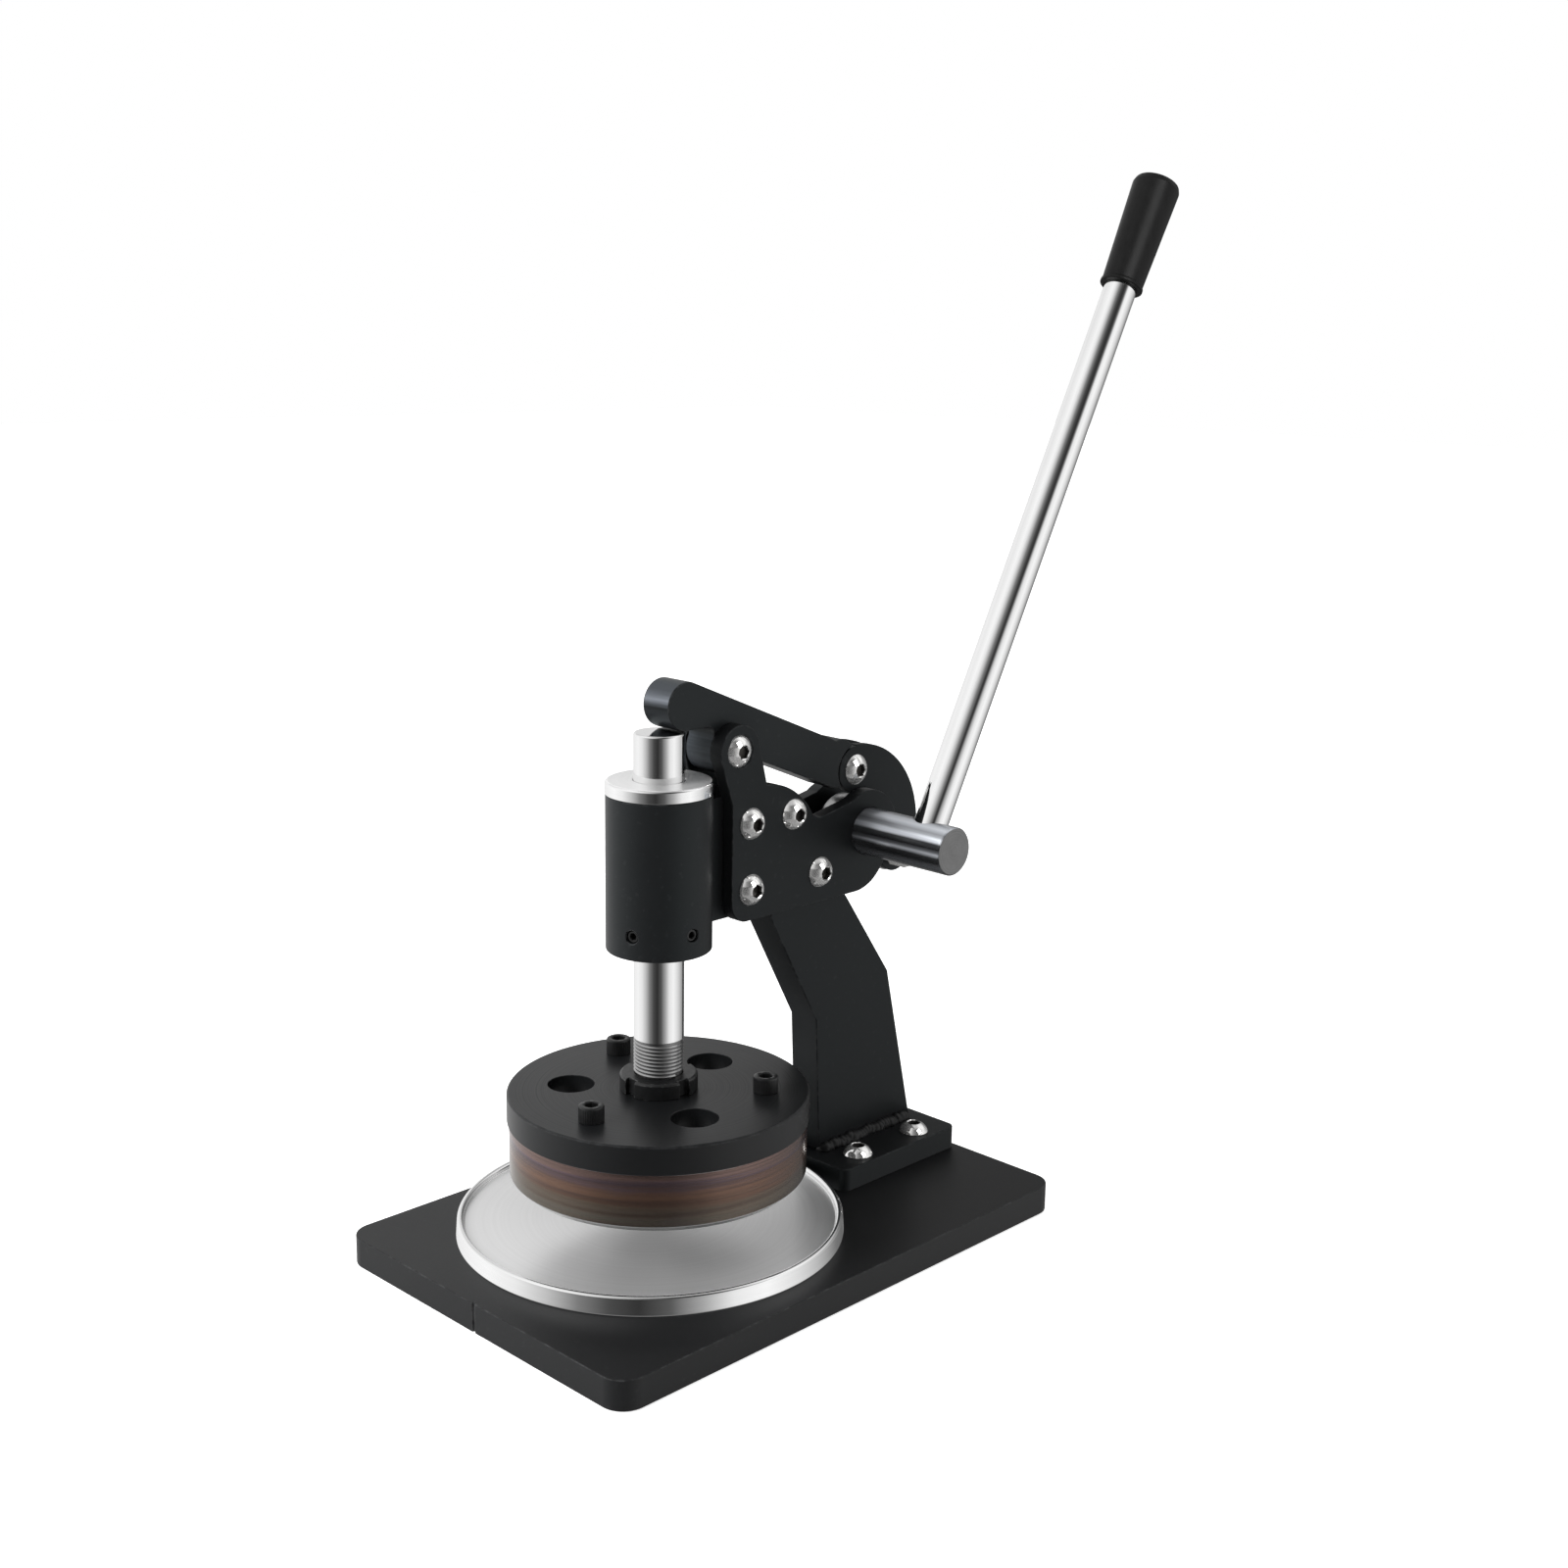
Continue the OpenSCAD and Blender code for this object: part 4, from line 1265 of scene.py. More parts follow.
class Recipe(Graph):
    """A Geometry Nodes tree with named inputs that is cooked to a plain mesh."""

    def __init__(self, name: str) -> None:
        """Start an empty tree.

        Args:
            name: Name of the tree.
        """
        super().__init__(bpy.data.node_groups.new(name, "GeometryNodeTree"))
        self.tree.interface.new_socket("Points", in_out="INPUT", socket_type="NodeSocketGeometry")
        self.tree.interface.new_socket("Result", in_out="OUTPUT", socket_type="NodeSocketGeometry")
        self.entry = self.tree.nodes.new("NodeGroupInput")
        self.leave = self.tree.nodes.new("NodeGroupOutput")
        self.keys: dict[str, str] = {}
        self.points = Sock(self, self.entry.outputs["Points"])
        self.finish = self.input("Finish", "NodeSocketMaterial")

    def input(self, name: str, kind: str = "NodeSocketFloat") -> Sock:
        """Add a named input.

        Args:
            name: Name of the input.
            kind: Type of its socket.

        Returns:
            The input's socket inside the tree.
        """
        item = self.tree.interface.new_socket(name, in_out="INPUT", socket_type=kind)
        self.keys[name] = item.identifier
        return Sock(self, self.entry.outputs[name])

    def sizes(self, *names: str) -> list[Sock]:
        """Add named inputs for sizes."""
        return [self.input(name) for name in names]

    def uneven(self, low: Point, high: Point, seed: int) -> Sock:
        """Return a random vector for every point, from a fixed seed."""
        inputs = {0: low, 1: high, "Seed": seed}
        return self.get("FunctionNodeRandomValue", {"data_type": "FLOAT_VECTOR"}, inputs)

    def sweep(self, path: Sock, sides: int, radius: Sock, place: Sock) -> "Recipe":
        """End the tree with a section that is swept along a path.

        Args:
            path: The path, a curve.
            sides: Corners of the section.
            radius: Radius of the section.
            place: Where the result goes.

        Returns:
            The recipe.
        """
        inputs = {"Resolution": sides, "Radius": radius}
        section = self.get("GeometryNodeCurvePrimitiveCircle", inputs=inputs)
        inputs = {"Curve": path, "Profile Curve": section, "Fill Caps": True}
        swept = self.get("GeometryNodeCurveToMesh", inputs=inputs)
        inputs = {"Geometry": swept, "Translation": place}
        return self.close(self.get("GeometryNodeTransform", inputs=inputs))

    def close(self, geometry: Sock) -> "Recipe":
        """End the tree: realize the instances and give them their material.

        Args:
            geometry: What the tree has made.

        Returns:
            The recipe.
        """
        real = self.get("GeometryNodeRealizeInstances", inputs={0: geometry})
        inputs = {"Geometry": real, "Material": self.finish}
        dressed = self.get("GeometryNodeSetMaterial", inputs=inputs)
        self.tree.links.new(dressed.socket, self.leave.inputs["Result"])
        return self

    def cook(
        self,
        name: str,
        finish: Finish,
        values: Mapping[str, Any],
        points: bpy.types.Mesh | None = None,
    ) -> bpy.types.Mesh:
        """Run the tree once.

        Args:
            name: Name of the mesh.
            finish: What the result is finished in.
            values: The tree's inputs by name.
            points: Mesh whose vertices the tree works on.

        Returns:
            The plain mesh.
        """
        source = points or bpy.data.meshes.new(name + "_points")
        holder = bpy.data.objects.new(name + "_holder", source)
        bpy.context.scene.collection.objects.link(holder)
        modifier = holder.modifiers.new(self.tree.name, "NODES")
        modifier.node_group = self.tree
        modifier[self.keys["Finish"]] = finish.material()
        for key, value in values.items():
            modifier[self.keys[key]] = value
        bpy.context.view_layer.update()
        mesh = plain_copy(holder)
        holder.modifiers.remove(modifier)
        bpy.data.objects.remove(holder)
        bpy.data.meshes.remove(source)
        mesh.name = name
        return mesh


class Recipes:
    """The trees that make what repeats or follows a path on the cutter."""

    @staticmethod
    def fasteners() -> Recipe:
        """Make a tree that sets one fastener on every point, rolled and turned by its attributes.

        Returns:
            The recipe.
        """
        recipe = Recipe("fastener_set")
        fastener = recipe.input("Fastener", "NodeSocketObject")
        tilt = recipe.input("Tilt", "NodeSocketVector")
        shape = recipe.get("GeometryNodeObjectInfo", inputs={"Object": fastener}, output="Geometry")
        plain = {"data_type": "FLOAT"}
        roll = recipe.get("GeometryNodeInputNamedAttribute", plain, {"Name": "roll"})
        turn = recipe.get("GeometryNodeInputNamedAttribute", plain, {"Name": "turn"})
        aims = (recipe.join(0.0, 0.0, roll), tilt, recipe.join(0.0, 0.0, turn))
        own, *swings = (recipe.get("FunctionNodeEulerToRotation", inputs={0: aim}) for aim in aims)
        for swing in swings:
            inputs = {0: own, 1: swing}
            own = recipe.get("FunctionNodeRotateRotation", {"rotation_space": "GLOBAL"}, inputs)
        inputs = {"Points": recipe.points, "Instance": shape, "Rotation": own}
        return recipe.close(recipe.get("GeometryNodeInstanceOnPoints", inputs=inputs))

    @staticmethod
    def thread(steps: int = 72, sides: int = 4) -> Recipe:
        """Make a tree that winds a pointed ridge round an upright axis.

        Args:
            steps: Steps in a turn.
            sides: Corners of the ridge's section.

        Returns:
            The recipe.
        """
        recipe = Recipe("screw_thread")
        pitch, turns, radius, ridge = recipe.sizes("Pitch", "Turns", "Radius", "Ridge")
        place = recipe.input("Place", "NodeSocketVector")
        inputs = {"Resolution": steps, "Rotations": turns, "Height": pitch * turns}
        inputs |= {"Start Radius": radius, "End Radius": radius}
        helix = recipe.get("GeometryNodeCurveSpiral", inputs=inputs)
        upright_helix = recipe.get("GeometryNodeSetCurveNormal", {"mode": "Z_UP"}, {0: helix})
        return recipe.sweep(upright_helix, sides, ridge, place)

    @staticmethod
    def spring(steps: int = 221, sides: int = 14, ease: float = 0.4) -> Recipe:
        """Make a tree that winds a spring whose coils lie closer at both ends.

        Args:
            steps: Points along the wire.
            sides: Corners of the wire's section.
            ease: Share of the rise that slows down towards both ends.

        Returns:
            The recipe.
        """
        recipe = Recipe("return_spring_coil")
        turns, radius, wire, low, rise = recipe.sizes("Turns", "Radius", "Wire", "Low", "Rise")
        place = recipe.input("Place", "NodeSocketVector")
        line = recipe.get("GeometryNodeCurvePrimitiveLine")
        fine = recipe.get("GeometryNodeResampleCurve", inputs={"Curve": line, "Count": steps})
        share = recipe.get("GeometryNodeSplineParameter", output="Factor")
        angle = turns * (2 * math.pi) * share
        height = low + rise * (share * (1.0 - ease) + share.between(0.0, 1.0) * ease)
        spot = recipe.join(radius * angle.cosine(), radius * angle.sine(), height)
        coil = recipe.get("GeometryNodeSetPosition", inputs={"Geometry": fine, "Position": spot})
        return recipe.sweep(coil, sides, wire, place)

    @staticmethod
    def weld() -> Recipe:
        """Make a tree that lays overlapping weld ripples on every point, uneven by fixed seeds.

        Returns:
            The recipe.
        """
        recipe = Recipe("weld_ripples")
        leg, ripple = recipe.sizes("Leg", "Ripple")
        inputs = {"Segments": 18, "Rings": 12, "Radius": 1.0}
        drop = recipe.get("GeometryNodeMeshUVSphere", inputs=inputs)
        swell = recipe.uneven((0.78, 1.0, 0.78), (1.06, 1.7, 1.06), 7)
        inputs = {0: swell, 1: recipe.join(leg, ripple, leg)}
        size = recipe.get("ShaderNodeVectorMath", {"operation": "MULTIPLY"}, inputs)
        skew = recipe.uneven((-0.1, 0.0, -0.16), (0.1, 0.0, 0.16), 11)
        aimed = recipe.get("FunctionNodeEulerToRotation", inputs={0: skew})
        inputs = {"Points": recipe.points, "Instance": drop, "Rotation": aimed, "Scale": size}
        return recipe.close(recipe.get("GeometryNodeInstanceOnPoints", inputs=inputs))


def point_mesh(
    name: str, points: Sequence[Point], rolls: Sequence[float] = (), turns: Sequence[float] = ()
) -> bpy.types.Mesh:
    """Make a mesh of loose points for a recipe.

    Args:
        name: Name of the mesh.
        points: Places in millimetres.
        rolls: Turn of each fastener about its own axis, in degrees.
        turns: Turn of each fastener about the upright axis, in degrees.

    Returns:
        The mesh, in metres.
    """
    mesh = bpy.data.meshes.new(name + "_points")
    mesh.from_pydata([tuple(c * MM for c in point) for point in points], [], [])
    for key, values in (("roll", rolls), ("turn", turns)):
        layer = mesh.attributes.new(key, "FLOAT", "POINT")
        for i, value in enumerate(values):
            layer.data[i].value = math.radians(value)
    return mesh


def show(
    name: str, mesh: bpy.types.Mesh, finish: Finish, body: Body, *nodes: str
) -> bpy.types.Object:
    """Put a finished piece into the scene.

    Args:
        name: Name of the piece.
        mesh: Its mesh, in metres.
        finish: Its finish.
        body: The body that it rides on.
        nodes: The CAD nodes that it stands for.

    Returns:
        The piece.
    """
    mesh.name = name
    if not mesh.materials:
        mesh.materials.append(finish.material())
    piece = bpy.data.objects.new(name, mesh)
    bpy.context.scene.collection.objects.link(piece)
    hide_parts(*nodes)
    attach(piece, body.value)
    LOG.info("%s: %d faces, rides on %s", name, len(mesh.polygons), body.value)
    return piece


def show_rounded(
    name: str, node: str, edge: float, finish: Finish, body: Body = Body.FRAME, steps: int = 2
) -> bpy.types.Object:
    """Show a copy of a CAD node with rounded edges.

    Args:
        name: Name of the piece.
        node: The node that it stands for.
        edge: Width of the rounding, in millimetres.
        finish: Its finish.
        body: The body that it rides on.
        steps: Faces over the rounding.

    Returns:
        The piece.
    """
    return show(name, softened(node, edge, steps), finish, body, node)


def show_set(
    name: str,
    node: str,
    fastener: bpy.types.Mesh,
    points: bpy.types.Mesh,
    facing: Facing,
    finish: Finish,
    body: Body = Body.FRAME,
) -> None:
    """Set one fastener on every point and show the set as one piece.

    Args:
        name: Name of the piece.
        node: The node that it stands for.
        fastener: The fastener, head up at the origin; it is used up.
        points: Where it goes; they are used up.
        facing: Which way its head points.
        finish: Its finish.
        body: The body that it rides on.
    """
    pattern = bpy.data.objects.new(name + "_pattern", fastener)
    bpy.context.scene.collection.objects.link(pattern)
    values = {"Fastener": pattern, "Tilt": tuple(math.radians(a) for a in facing.value)}
    mesh = Recipes.fasteners().cook(name, finish, values, points)
    bpy.data.objects.remove(pattern)
    bpy.data.meshes.remove(fastener)
    show(name, mesh, finish, body, node)


def round_spots(centre: Pair, radius: float, turns: Sequence[float], z: float) -> list[Point]:
    """Return points on a level circle.

    Args:
        centre: The circle's centre.
        radius: Its radius.
        turns: Direction of each point, in degrees.
        z: The circle's height.

    Returns:
        The points.
    """
    angles = [math.radians(turn) for turn in turns]
    x, y = centre
    return [(x + radius * math.cos(a), y + radius * math.sin(a), z) for a in angles]


def domed_head(head_d: float, head_h: float, flats: float, seat: float = 0.0) -> list[Ring]:
    """Return the rings of a domed socket head.

    Args:
        head_d: Diameter of the head.
        head_h: Height of the head.
        flats: Width of the socket across its flats.
        seat: Height of the head's seat.

    Returns:
        The rings from the seat to the bottom of the socket.
    """
    head = head_d / 2
    dome = (head * head + head_h * head_h) / (2 * head_h)
    mouth = flats / 2 * 1.2
    brim = head * 0.985
    steps = 12
    rings = [Ring(head * 0.97, seat)]
    for k in range(steps + 1):
        radius = brim + (mouth - brim) * k / steps
        rings.append(Ring(radius, seat + head_h - dome + math.sqrt(dome * dome - radius * radius)))
    floor = seat + head_h * 0.3
    # the socket's walls and floor carry painted shade
    rings.append(Ring(flats / 2, rings[-1].height - 0.25, RingShape.HEX))
    rings.append(Ring(flats / 2, rings[-1].height - 0.15, RingShape.HEX, 0.85))
    rings += [Ring(flats / 2, floor, RingShape.HEX, 1.0), Ring(0.0, floor - 0.5, socket_shade=1.0)]
    return rings


@dataclass
class ButtonScrew:
    """A domed socket screw."""

    shank_d: float
    length: float
    head_d: float
    head_h: float
    flats: float
    tip: float = 0.6

    def mesh(self) -> bpy.types.Mesh:
        """Turn the screw.

        Returns:
            The screw, head up, with its seat at the origin.
        """
        shank = self.shank_d / 2
        rings = [Ring(0.0, -self.length), Ring(shank - self.tip, -self.length)]
        rings += [Ring(shank, -self.length + self.tip), Ring(shank, 0.0)]
        rings += domed_head(self.head_d, self.head_h, self.flats)
        return turned("button_screw", rings, Matrix.Identity(4), 48)


@dataclass
class CapScrew:
    """A knurled socket screw with a straight head."""

    shank_d: float
    length: float
    head_d: float
    head_h: float
    flats: float

    def mesh(self) -> bpy.types.Mesh:
        """Turn the screw.

        Returns:
            The screw, head up, with its seat at the origin.
        """
        shank = self.shank_d / 2
        head = self.head_d / 2
        top = self.head_h
        half = self.flats / 2
        knurl = RingShape.KNURLED
        rings = [Ring(0.0, -self.length), Ring(shank, -self.length), Ring(shank, 0.0)]
        rings += [Ring(head - 0.3, 0.0), Ring(head - 0.06, 0.25), Ring(head, 0.5, knurl)]
        rings += [Ring(head, top - 0.9, knurl), Ring(head - 0.12, top - 0.55)]
        rings += [Ring(head - 0.25, top - 0.2), Ring(head - 0.6, top), Ring(half * 1.2, top)]
        # the socket carries painted shade
        rings.append(Ring(half, top - 0.3, RingShape.HEX, 0.5))
        rings += [Ring(half, top * 0.5, RingShape.HEX, 1.0), Ring(0.0, top * 0.5 - 0.6, socket_shade=1.0)]
        return turned("cap_screw", rings, Matrix.Identity(4), 144)


@dataclass
class HexNut:
    """A hexagon nut with chamfered corners."""

    flats: float
    height: float
    bore: float

    def mesh(self) -> bpy.types.Mesh:
        """Turn the nut.

        Returns:
            The nut with its seat at the origin.
        """
        half = self.flats / 2
        bore = self.bore / 2
        rim = half * 0.95
        top = self.height
        rings = [Ring(bore, 0.4), Ring(bore + 0.4, 0.0), Ring(rim, 0.0)]
        rings += [Ring(half, 0.35, RingShape.HEX), Ring(half, top - 0.7, RingShape.HEX)]
        rings += [Ring(rim, top), Ring(bore + 0.5, top), Ring(bore, top - 0.5)]
        return turned("hex_nut", rings, Matrix.Identity(4), 48, closed=True)


@dataclass
class HeadedPin:
    """A plain pin along X with a head on the right and, where it has one, a peened tail.

    Its head is domed with a socket, or a plain hexagon where it has no socket.
    """

    axis: Pair
    d: float
    low: float
    high: float
    head_d: float
    head_h: float
    socket: float = 0.0
    tail_d: float = 0.0
    tail: float = 0.0

    def show(self, name: str, body: Body, node: str) -> None:
        """Show the pin in its place."""
        show(name, self.mesh(name), Finishes.SCREW_BRIGHT, body, node)

    def mesh(self, name: str) -> bpy.types.Mesh:
        """Turn the pin in its place.

        Args:
            name: Name of the mesh.

        Returns:
            The mesh.
        """
        shank = self.d / 2
        corners = [(0.0, self.low - self.tail, 0.0)]
        if self.tail:
            wide = self.tail_d / 2
            corners += [(wide, self.low - self.tail, self.tail * 0.4), (wide, self.low, 0.0)]
        corners += [(shank, self.low, 0.0), (shank, self.high, 0.0)]
        rings = outline(*corners)
        if self.socket:
            rings += domed_head(self.head_d, self.head_h, self.socket, self.high)
        else:
            rings += self.hexagon()
        return turned(name, rings, along_x(self.axis), 72)

    def hexagon(self) -> list[Ring]:
        """Make a hexagon head with chamfered corners.

        Returns:
            The rings of the head.
        """
        half = self.head_d / 2 * math.cos(math.pi / 6)
        top = self.high + self.head_h
        rings = [Ring(half * 0.97, self.high), Ring(half, self.high + 0.3, RingShape.HEX)]
        rings += [Ring(half, top - 0.8, RingShape.HEX), Ring(half * 0.95, top), Ring(0.0, top)]
        return rings


def along_x(axis: Pair) -> Matrix:
    """Return the place of a piece whose axis runs along X through [y, z], its height becoming x."""
    return Matrix.Translation((0.0, axis[0], axis[1])) @ Matrix.Rotation(math.pi / 2, 4, "Y")


def upright(x: float, y: float) -> Matrix:
    """Return the place of a piece that stands on the point [x, y]."""
    return Matrix.Translation((x, y, 0.0))


@dataclass
class Bed:
    """Base plate with the cutting tray on it."""

    edge: float = 0.4
    tray_r: float = 78.0
    tray_low: float = 12.0
    tray_top: float = 19.5
    floor_z: float = 17.3
    lip_w: float = 3.2
    draft: float = 0.5
    foot_round: float = 0.5
    lip_round: float = 1.3
    floor_round: float = 0.45
    screw_r: float = 52.0
    screw_turns: Point = (90.0, 210.0, 330.0)
    screw_rolls: Point = (5.0, 31.0, 52.0)
    screw_seat: float = 6.5

    def build(self) -> None:
        """Build and dress the base, the tray and the screws under it."""
        base = show_rounded("ground_base", "base_plate", self.edge, Finishes.BASE_BLACK)
        base.visible_glossy = False
        self.build_tray()
        self.build_screws()

    def build_tray(self) -> None:
        """Turn the tray with its rounded lip."""
        inner = self.tray_r - self.lip_w
        rings = outline(
            (0.0, self.tray_low, 0.0),
            (self.tray_r, self.tray_low, self.foot_round),
            (self.tray_r - self.draft, self.tray_top, self.lip_round),
            (inner, self.tray_top, self.lip_round),
            (inner, self.floor_z, self.floor_round),
            (0.0, self.floor_z, 0.0),
            steps=8,
        )
        mesh = turned("tray", rings, upright(*TRAY_CENTRE), 192)
        show("turned_tray", mesh, Finishes.TRAY_STEEL, Body.FRAME, "cutting_tray")

    def build_screws(self) -> None:
        """Set the three screws that hold the tray from below."""
        spots = round_spots(TRAY_CENTRE, self.screw_r, self.screw_turns, self.screw_seat)
        points = point_mesh("tray_screws", spots, self.screw_rolls)
        screw = CapScrew(shank_d=6.0, length=9.0, head_d=10.0, head_h=6.0, flats=5.0).mesh()
        finish = Finishes.SCREW_BRIGHT
        show_set("tray_screw_set", "tray_screws", screw, points, Facing.DOWN, finish)


@dataclass
class Column:
    """Post with its welded foot."""

    edge: float = 0.5
    core: float = 7.5
    foot_top: float = 22.0
    weld_front: float = 55.6
    weld_back: float = 114.5
    weld_leg: float = 3.95
    weld_step: float = 1.7
    ripple: float = 2.7
    ripple_room: float = 1.2
    screw_x: float = 20.5
    screw_rows: Pair = (66.0, 102.5)
    screw_rolls: tuple[float, ...] = (12.0, 40.0, 25.0, 8.0)

    def build(self) -> None:
        """Build and dress the post, the foot, the welds and the foot screws."""
        show_rounded("post_bar", "post", self.edge, Finishes.PAINT)
        show_rounded("post_flange", "post_foot", self.edge, Finishes.PAINT)
        self.build_welds()
        self.build_screws()

    def build_welds(self) -> None:
        """Lay the two weld beads, ripple by ripple."""
        room = self.ripple * self.ripple_room
        first = self.weld_front + room
        count = int((self.weld_back - room - first) / self.weld_step)
        rows = [first + i * self.weld_step for i in range(count + 1)]
        spots = [(side * self.core, y, self.foot_top) for side in (-1, 1) for y in rows]
        values = {"Leg": self.weld_leg * MM, "Ripple": self.ripple * MM}
        finish = Finishes.WELD_BLACK
        mesh = Recipes.weld().cook("weld_ripple_beads", finish, values, point_mesh("weld", spots))
        mesh.shade_smooth()
        show("weld_ripple_beads", mesh, finish, Body.FRAME, "weld_beads")

    def build_screws(self) -> None:
        """Set the four foot screws."""
        sides = (-self.screw_x, self.screw_x)
        spots = [(x, y, self.foot_top) for x in sides for y in self.screw_rows]
        points = point_mesh("foot_screws", spots, self.screw_rolls)
        screw = ButtonScrew(shank_d=8.0, length=20.0, head_d=13.0, head_h=4.6, flats=5.0).mesh()
        finish = Finishes.SCREW_BRIGHT
        show_set("foot_screw_set", "foot_screws", screw, points, Facing.UP, finish)


@dataclass
class Cheeks:
    """The two side plates with their screws, nuts and the rocker's pivot."""

    edge: float = 0.4
    outer: float = 13.5
    points: tuple[Pair, ...] = ((6.4, 176.5), (6.4, 149.5), (30.2, 176.5), (46.2, 149.5))
    screw_rolls: tuple[float, ...] = (8.0, 33.0, 17.0, 49.0)
    nut_rolls: tuple[float, ...] = (3.0, 22.0, 41.0, 14.0)
    pivot_nut_roll: float = 11.0
    pivot_sunk: float = 1.0
    pivot_past: float = 6.0

    def build(self) -> None:
        """Build and dress the side plates and what holds them."""
        for side in ("right", "left"):
            show_rounded(side + "_cheek", side + "_side_plate", self.edge, Finishes.PAINT)
        finish = Finishes.SCREW_BRIGHT
        spots = [(self.outer, y, z) for y, z in self.points]
        points = point_mesh("plate_screws", spots, self.screw_rolls)
        screw = ButtonScrew(shank_d=8.0, length=33.4, head_d=13.0, head_h=4.6, flats=5.0).mesh()
        show_set("cheek_screw_set", "plate_screws", screw, points, Facing.RIGHT, finish)
        spots = [(-self.outer, y, z) for y, z in self.points]
        points = point_mesh("plate_nuts", spots, self.nut_rolls)
        nut = HexNut(flats=13.0, height=6.4, bore=8.1).mesh()
        show_set("cheek_nut_set", "plate_nuts", nut, points, Facing.LEFT, finish)
        self.build_pivot()

    def build_pivot(self) -> None:
        """Set the rocker's pivot and its nut."""
        points = point_mesh("pivot_nut", [(-self.outer, *ROCKER_PIVOT)], (self.pivot_nut_roll,))
        nut = HexNut(flats=16.0, height=6.0, bore=10.1).mesh()
        finish = Finishes.SCREW_BRIGHT
        show_set("pivot_hex_nut", "pivot_nut", nut, points, Facing.LEFT, finish)
        pin = HeadedPin(
            axis=ROCKER_PIVOT,
            d=10.0,
            low=-self.outer - self.pivot_past,
            high=self.outer - self.pivot_sunk,
            head_d=13.0,
            head_h=3.6,
            socket=5.0,
        )
        pin.show("rocker_pivot_pin", Body.FRAME, "rocker_pivot")


@dataclass
class Guide:
    """Guide sleeve with its rib, bushes, set screws and return spring."""

    edge: float = 0.5
    bore_r: float = 10.05
    flange_r: float = 21.0
    flange_low: float = 192.5
    flange_top: float = 197.7
    spigot_r: float = 15.95
    spigot_low: float = 186.5
    low_bush: Pair = (130.5, 148.5)
    screw_z: float = 140.0
    screw_turns: Pair = (-72.0, -3.0)
    screw_rolls: Pair = (14.0, 37.0)
    screw_start: float = 14.05
    screw_end: float = 19.8
    screw_r: float = 2.42
    socket_r: float = 1.2
    spring_low: float = 148.55
    spring_high: float = 180.2
    spring_r: float = 13.0
    wire_r: float = 1.08
    spring_turns: float = 5.5
    spring_keep: float = 0.542

    def build(self) -> None:
        """Build and dress the sleeve and what is in it."""
        show_rounded("sleeve_body", "guide_sleeve", self.edge, Finishes.SLEEVE_BLACK, steps=3)
        show_rounded("sleeve_web", "sleeve_rib", self.edge, Finishes.PAINT)
        self.build_bushes()
        self.build_set_screws()
        self.build_spring()

    def build_bushes(self) -> None:
        """Turn the bright upper bush and the bronze lower one."""
        bore = self.bore_r
        middle = (self.flange_low + self.flange_top) / 2
        rings = outline(
            (bore, middle, 0.0),
            (bore, self.spigot_low, 0.4),
            (self.spigot_r, self.spigot_low, 0.4),
            (self.spigot_r, self.flange_low, 0.0),
            (self.flange_r, self.flange_low, 0.35),
            (self.flange_r, self.flange_top, 1.2),
            (bore, self.flange_top, 0.5),
            (bore, middle + BORE_SEAM, 0.0),
            steps=5,
        )
        mesh = turned("bush", rings, upright(*RAM_AXIS), 128, closed=True)
        show("flanged_bush", mesh, Finishes.BUSH_STEEL, Body.FRAME, "upper_bush")
        rings = bushing((bore, self.spigot_r), self.low_bush, inner=(0.6, 0.5), outer=(0.6, 0.5))
        mesh = turned("bronze_bush", rings, upright(*RAM_AXIS), closed=True)
        show("bronze_bush", mesh, Finishes.BRONZE, Body.FRAME, "lower_bush")

    def build_set_screws(self) -> None:
        """Set the two grub screws in their holes."""
        wide, half = self.screw_r, self.socket_r
        top = self.screw_end - self.screw_start
        rings = [Ring(0.0, 0.0), Ring(1.6, 0.0), Ring(wide, 0.8), Ring(wide, top - 0.4)]
        # the socket carries painted shade
        rings += [Ring(2.1, top), Ring(1.55, top), Ring(half, top - 0.3, RingShape.HEX, 0.7)]
        rings += [Ring(half, top * 0.5, RingShape.HEX, 1.0), Ring(0.0, top * 0.5 - 0.3, socket_shade=1.0)]
        screw = turned("grub_screw", rings, Matrix.Identity(4), 48)
        spots = round_spots(RAM_AXIS, self.screw_start, self.screw_turns, self.screw_z)
        points = point_mesh("set_screws", spots, self.screw_rolls, self.screw_turns)
        finish = Finishes.SCREW_BLACK
        show_set("grub_screw_set", "sleeve_set_screws", screw, points, Facing.RIGHT, finish)

    def build_spring(self) -> None:
        """Wind the return spring round the ram's axis."""
        x, y = RAM_AXIS
        values = {
            "Turns": self.spring_turns,
            "Radius": self.spring_r * MM,
            "Wire": self.wire_r * MM,
            "Low": (self.spring_low + self.wire_r) * MM,
            "Rise": (self.spring_high - self.spring_low - 2 * self.wire_r) * MM,
            "Place": (x * MM, y * MM, 0.0),
        }
        mesh = Recipes.spring().cook("spring_coil", Finishes.SPRING_STEEL, values)
        mesh.shade_smooth()
        piece = show("spring_coil", mesh, Finishes.SPRING_STEEL, Body.FRAME, "return_spring")
        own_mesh(piece)


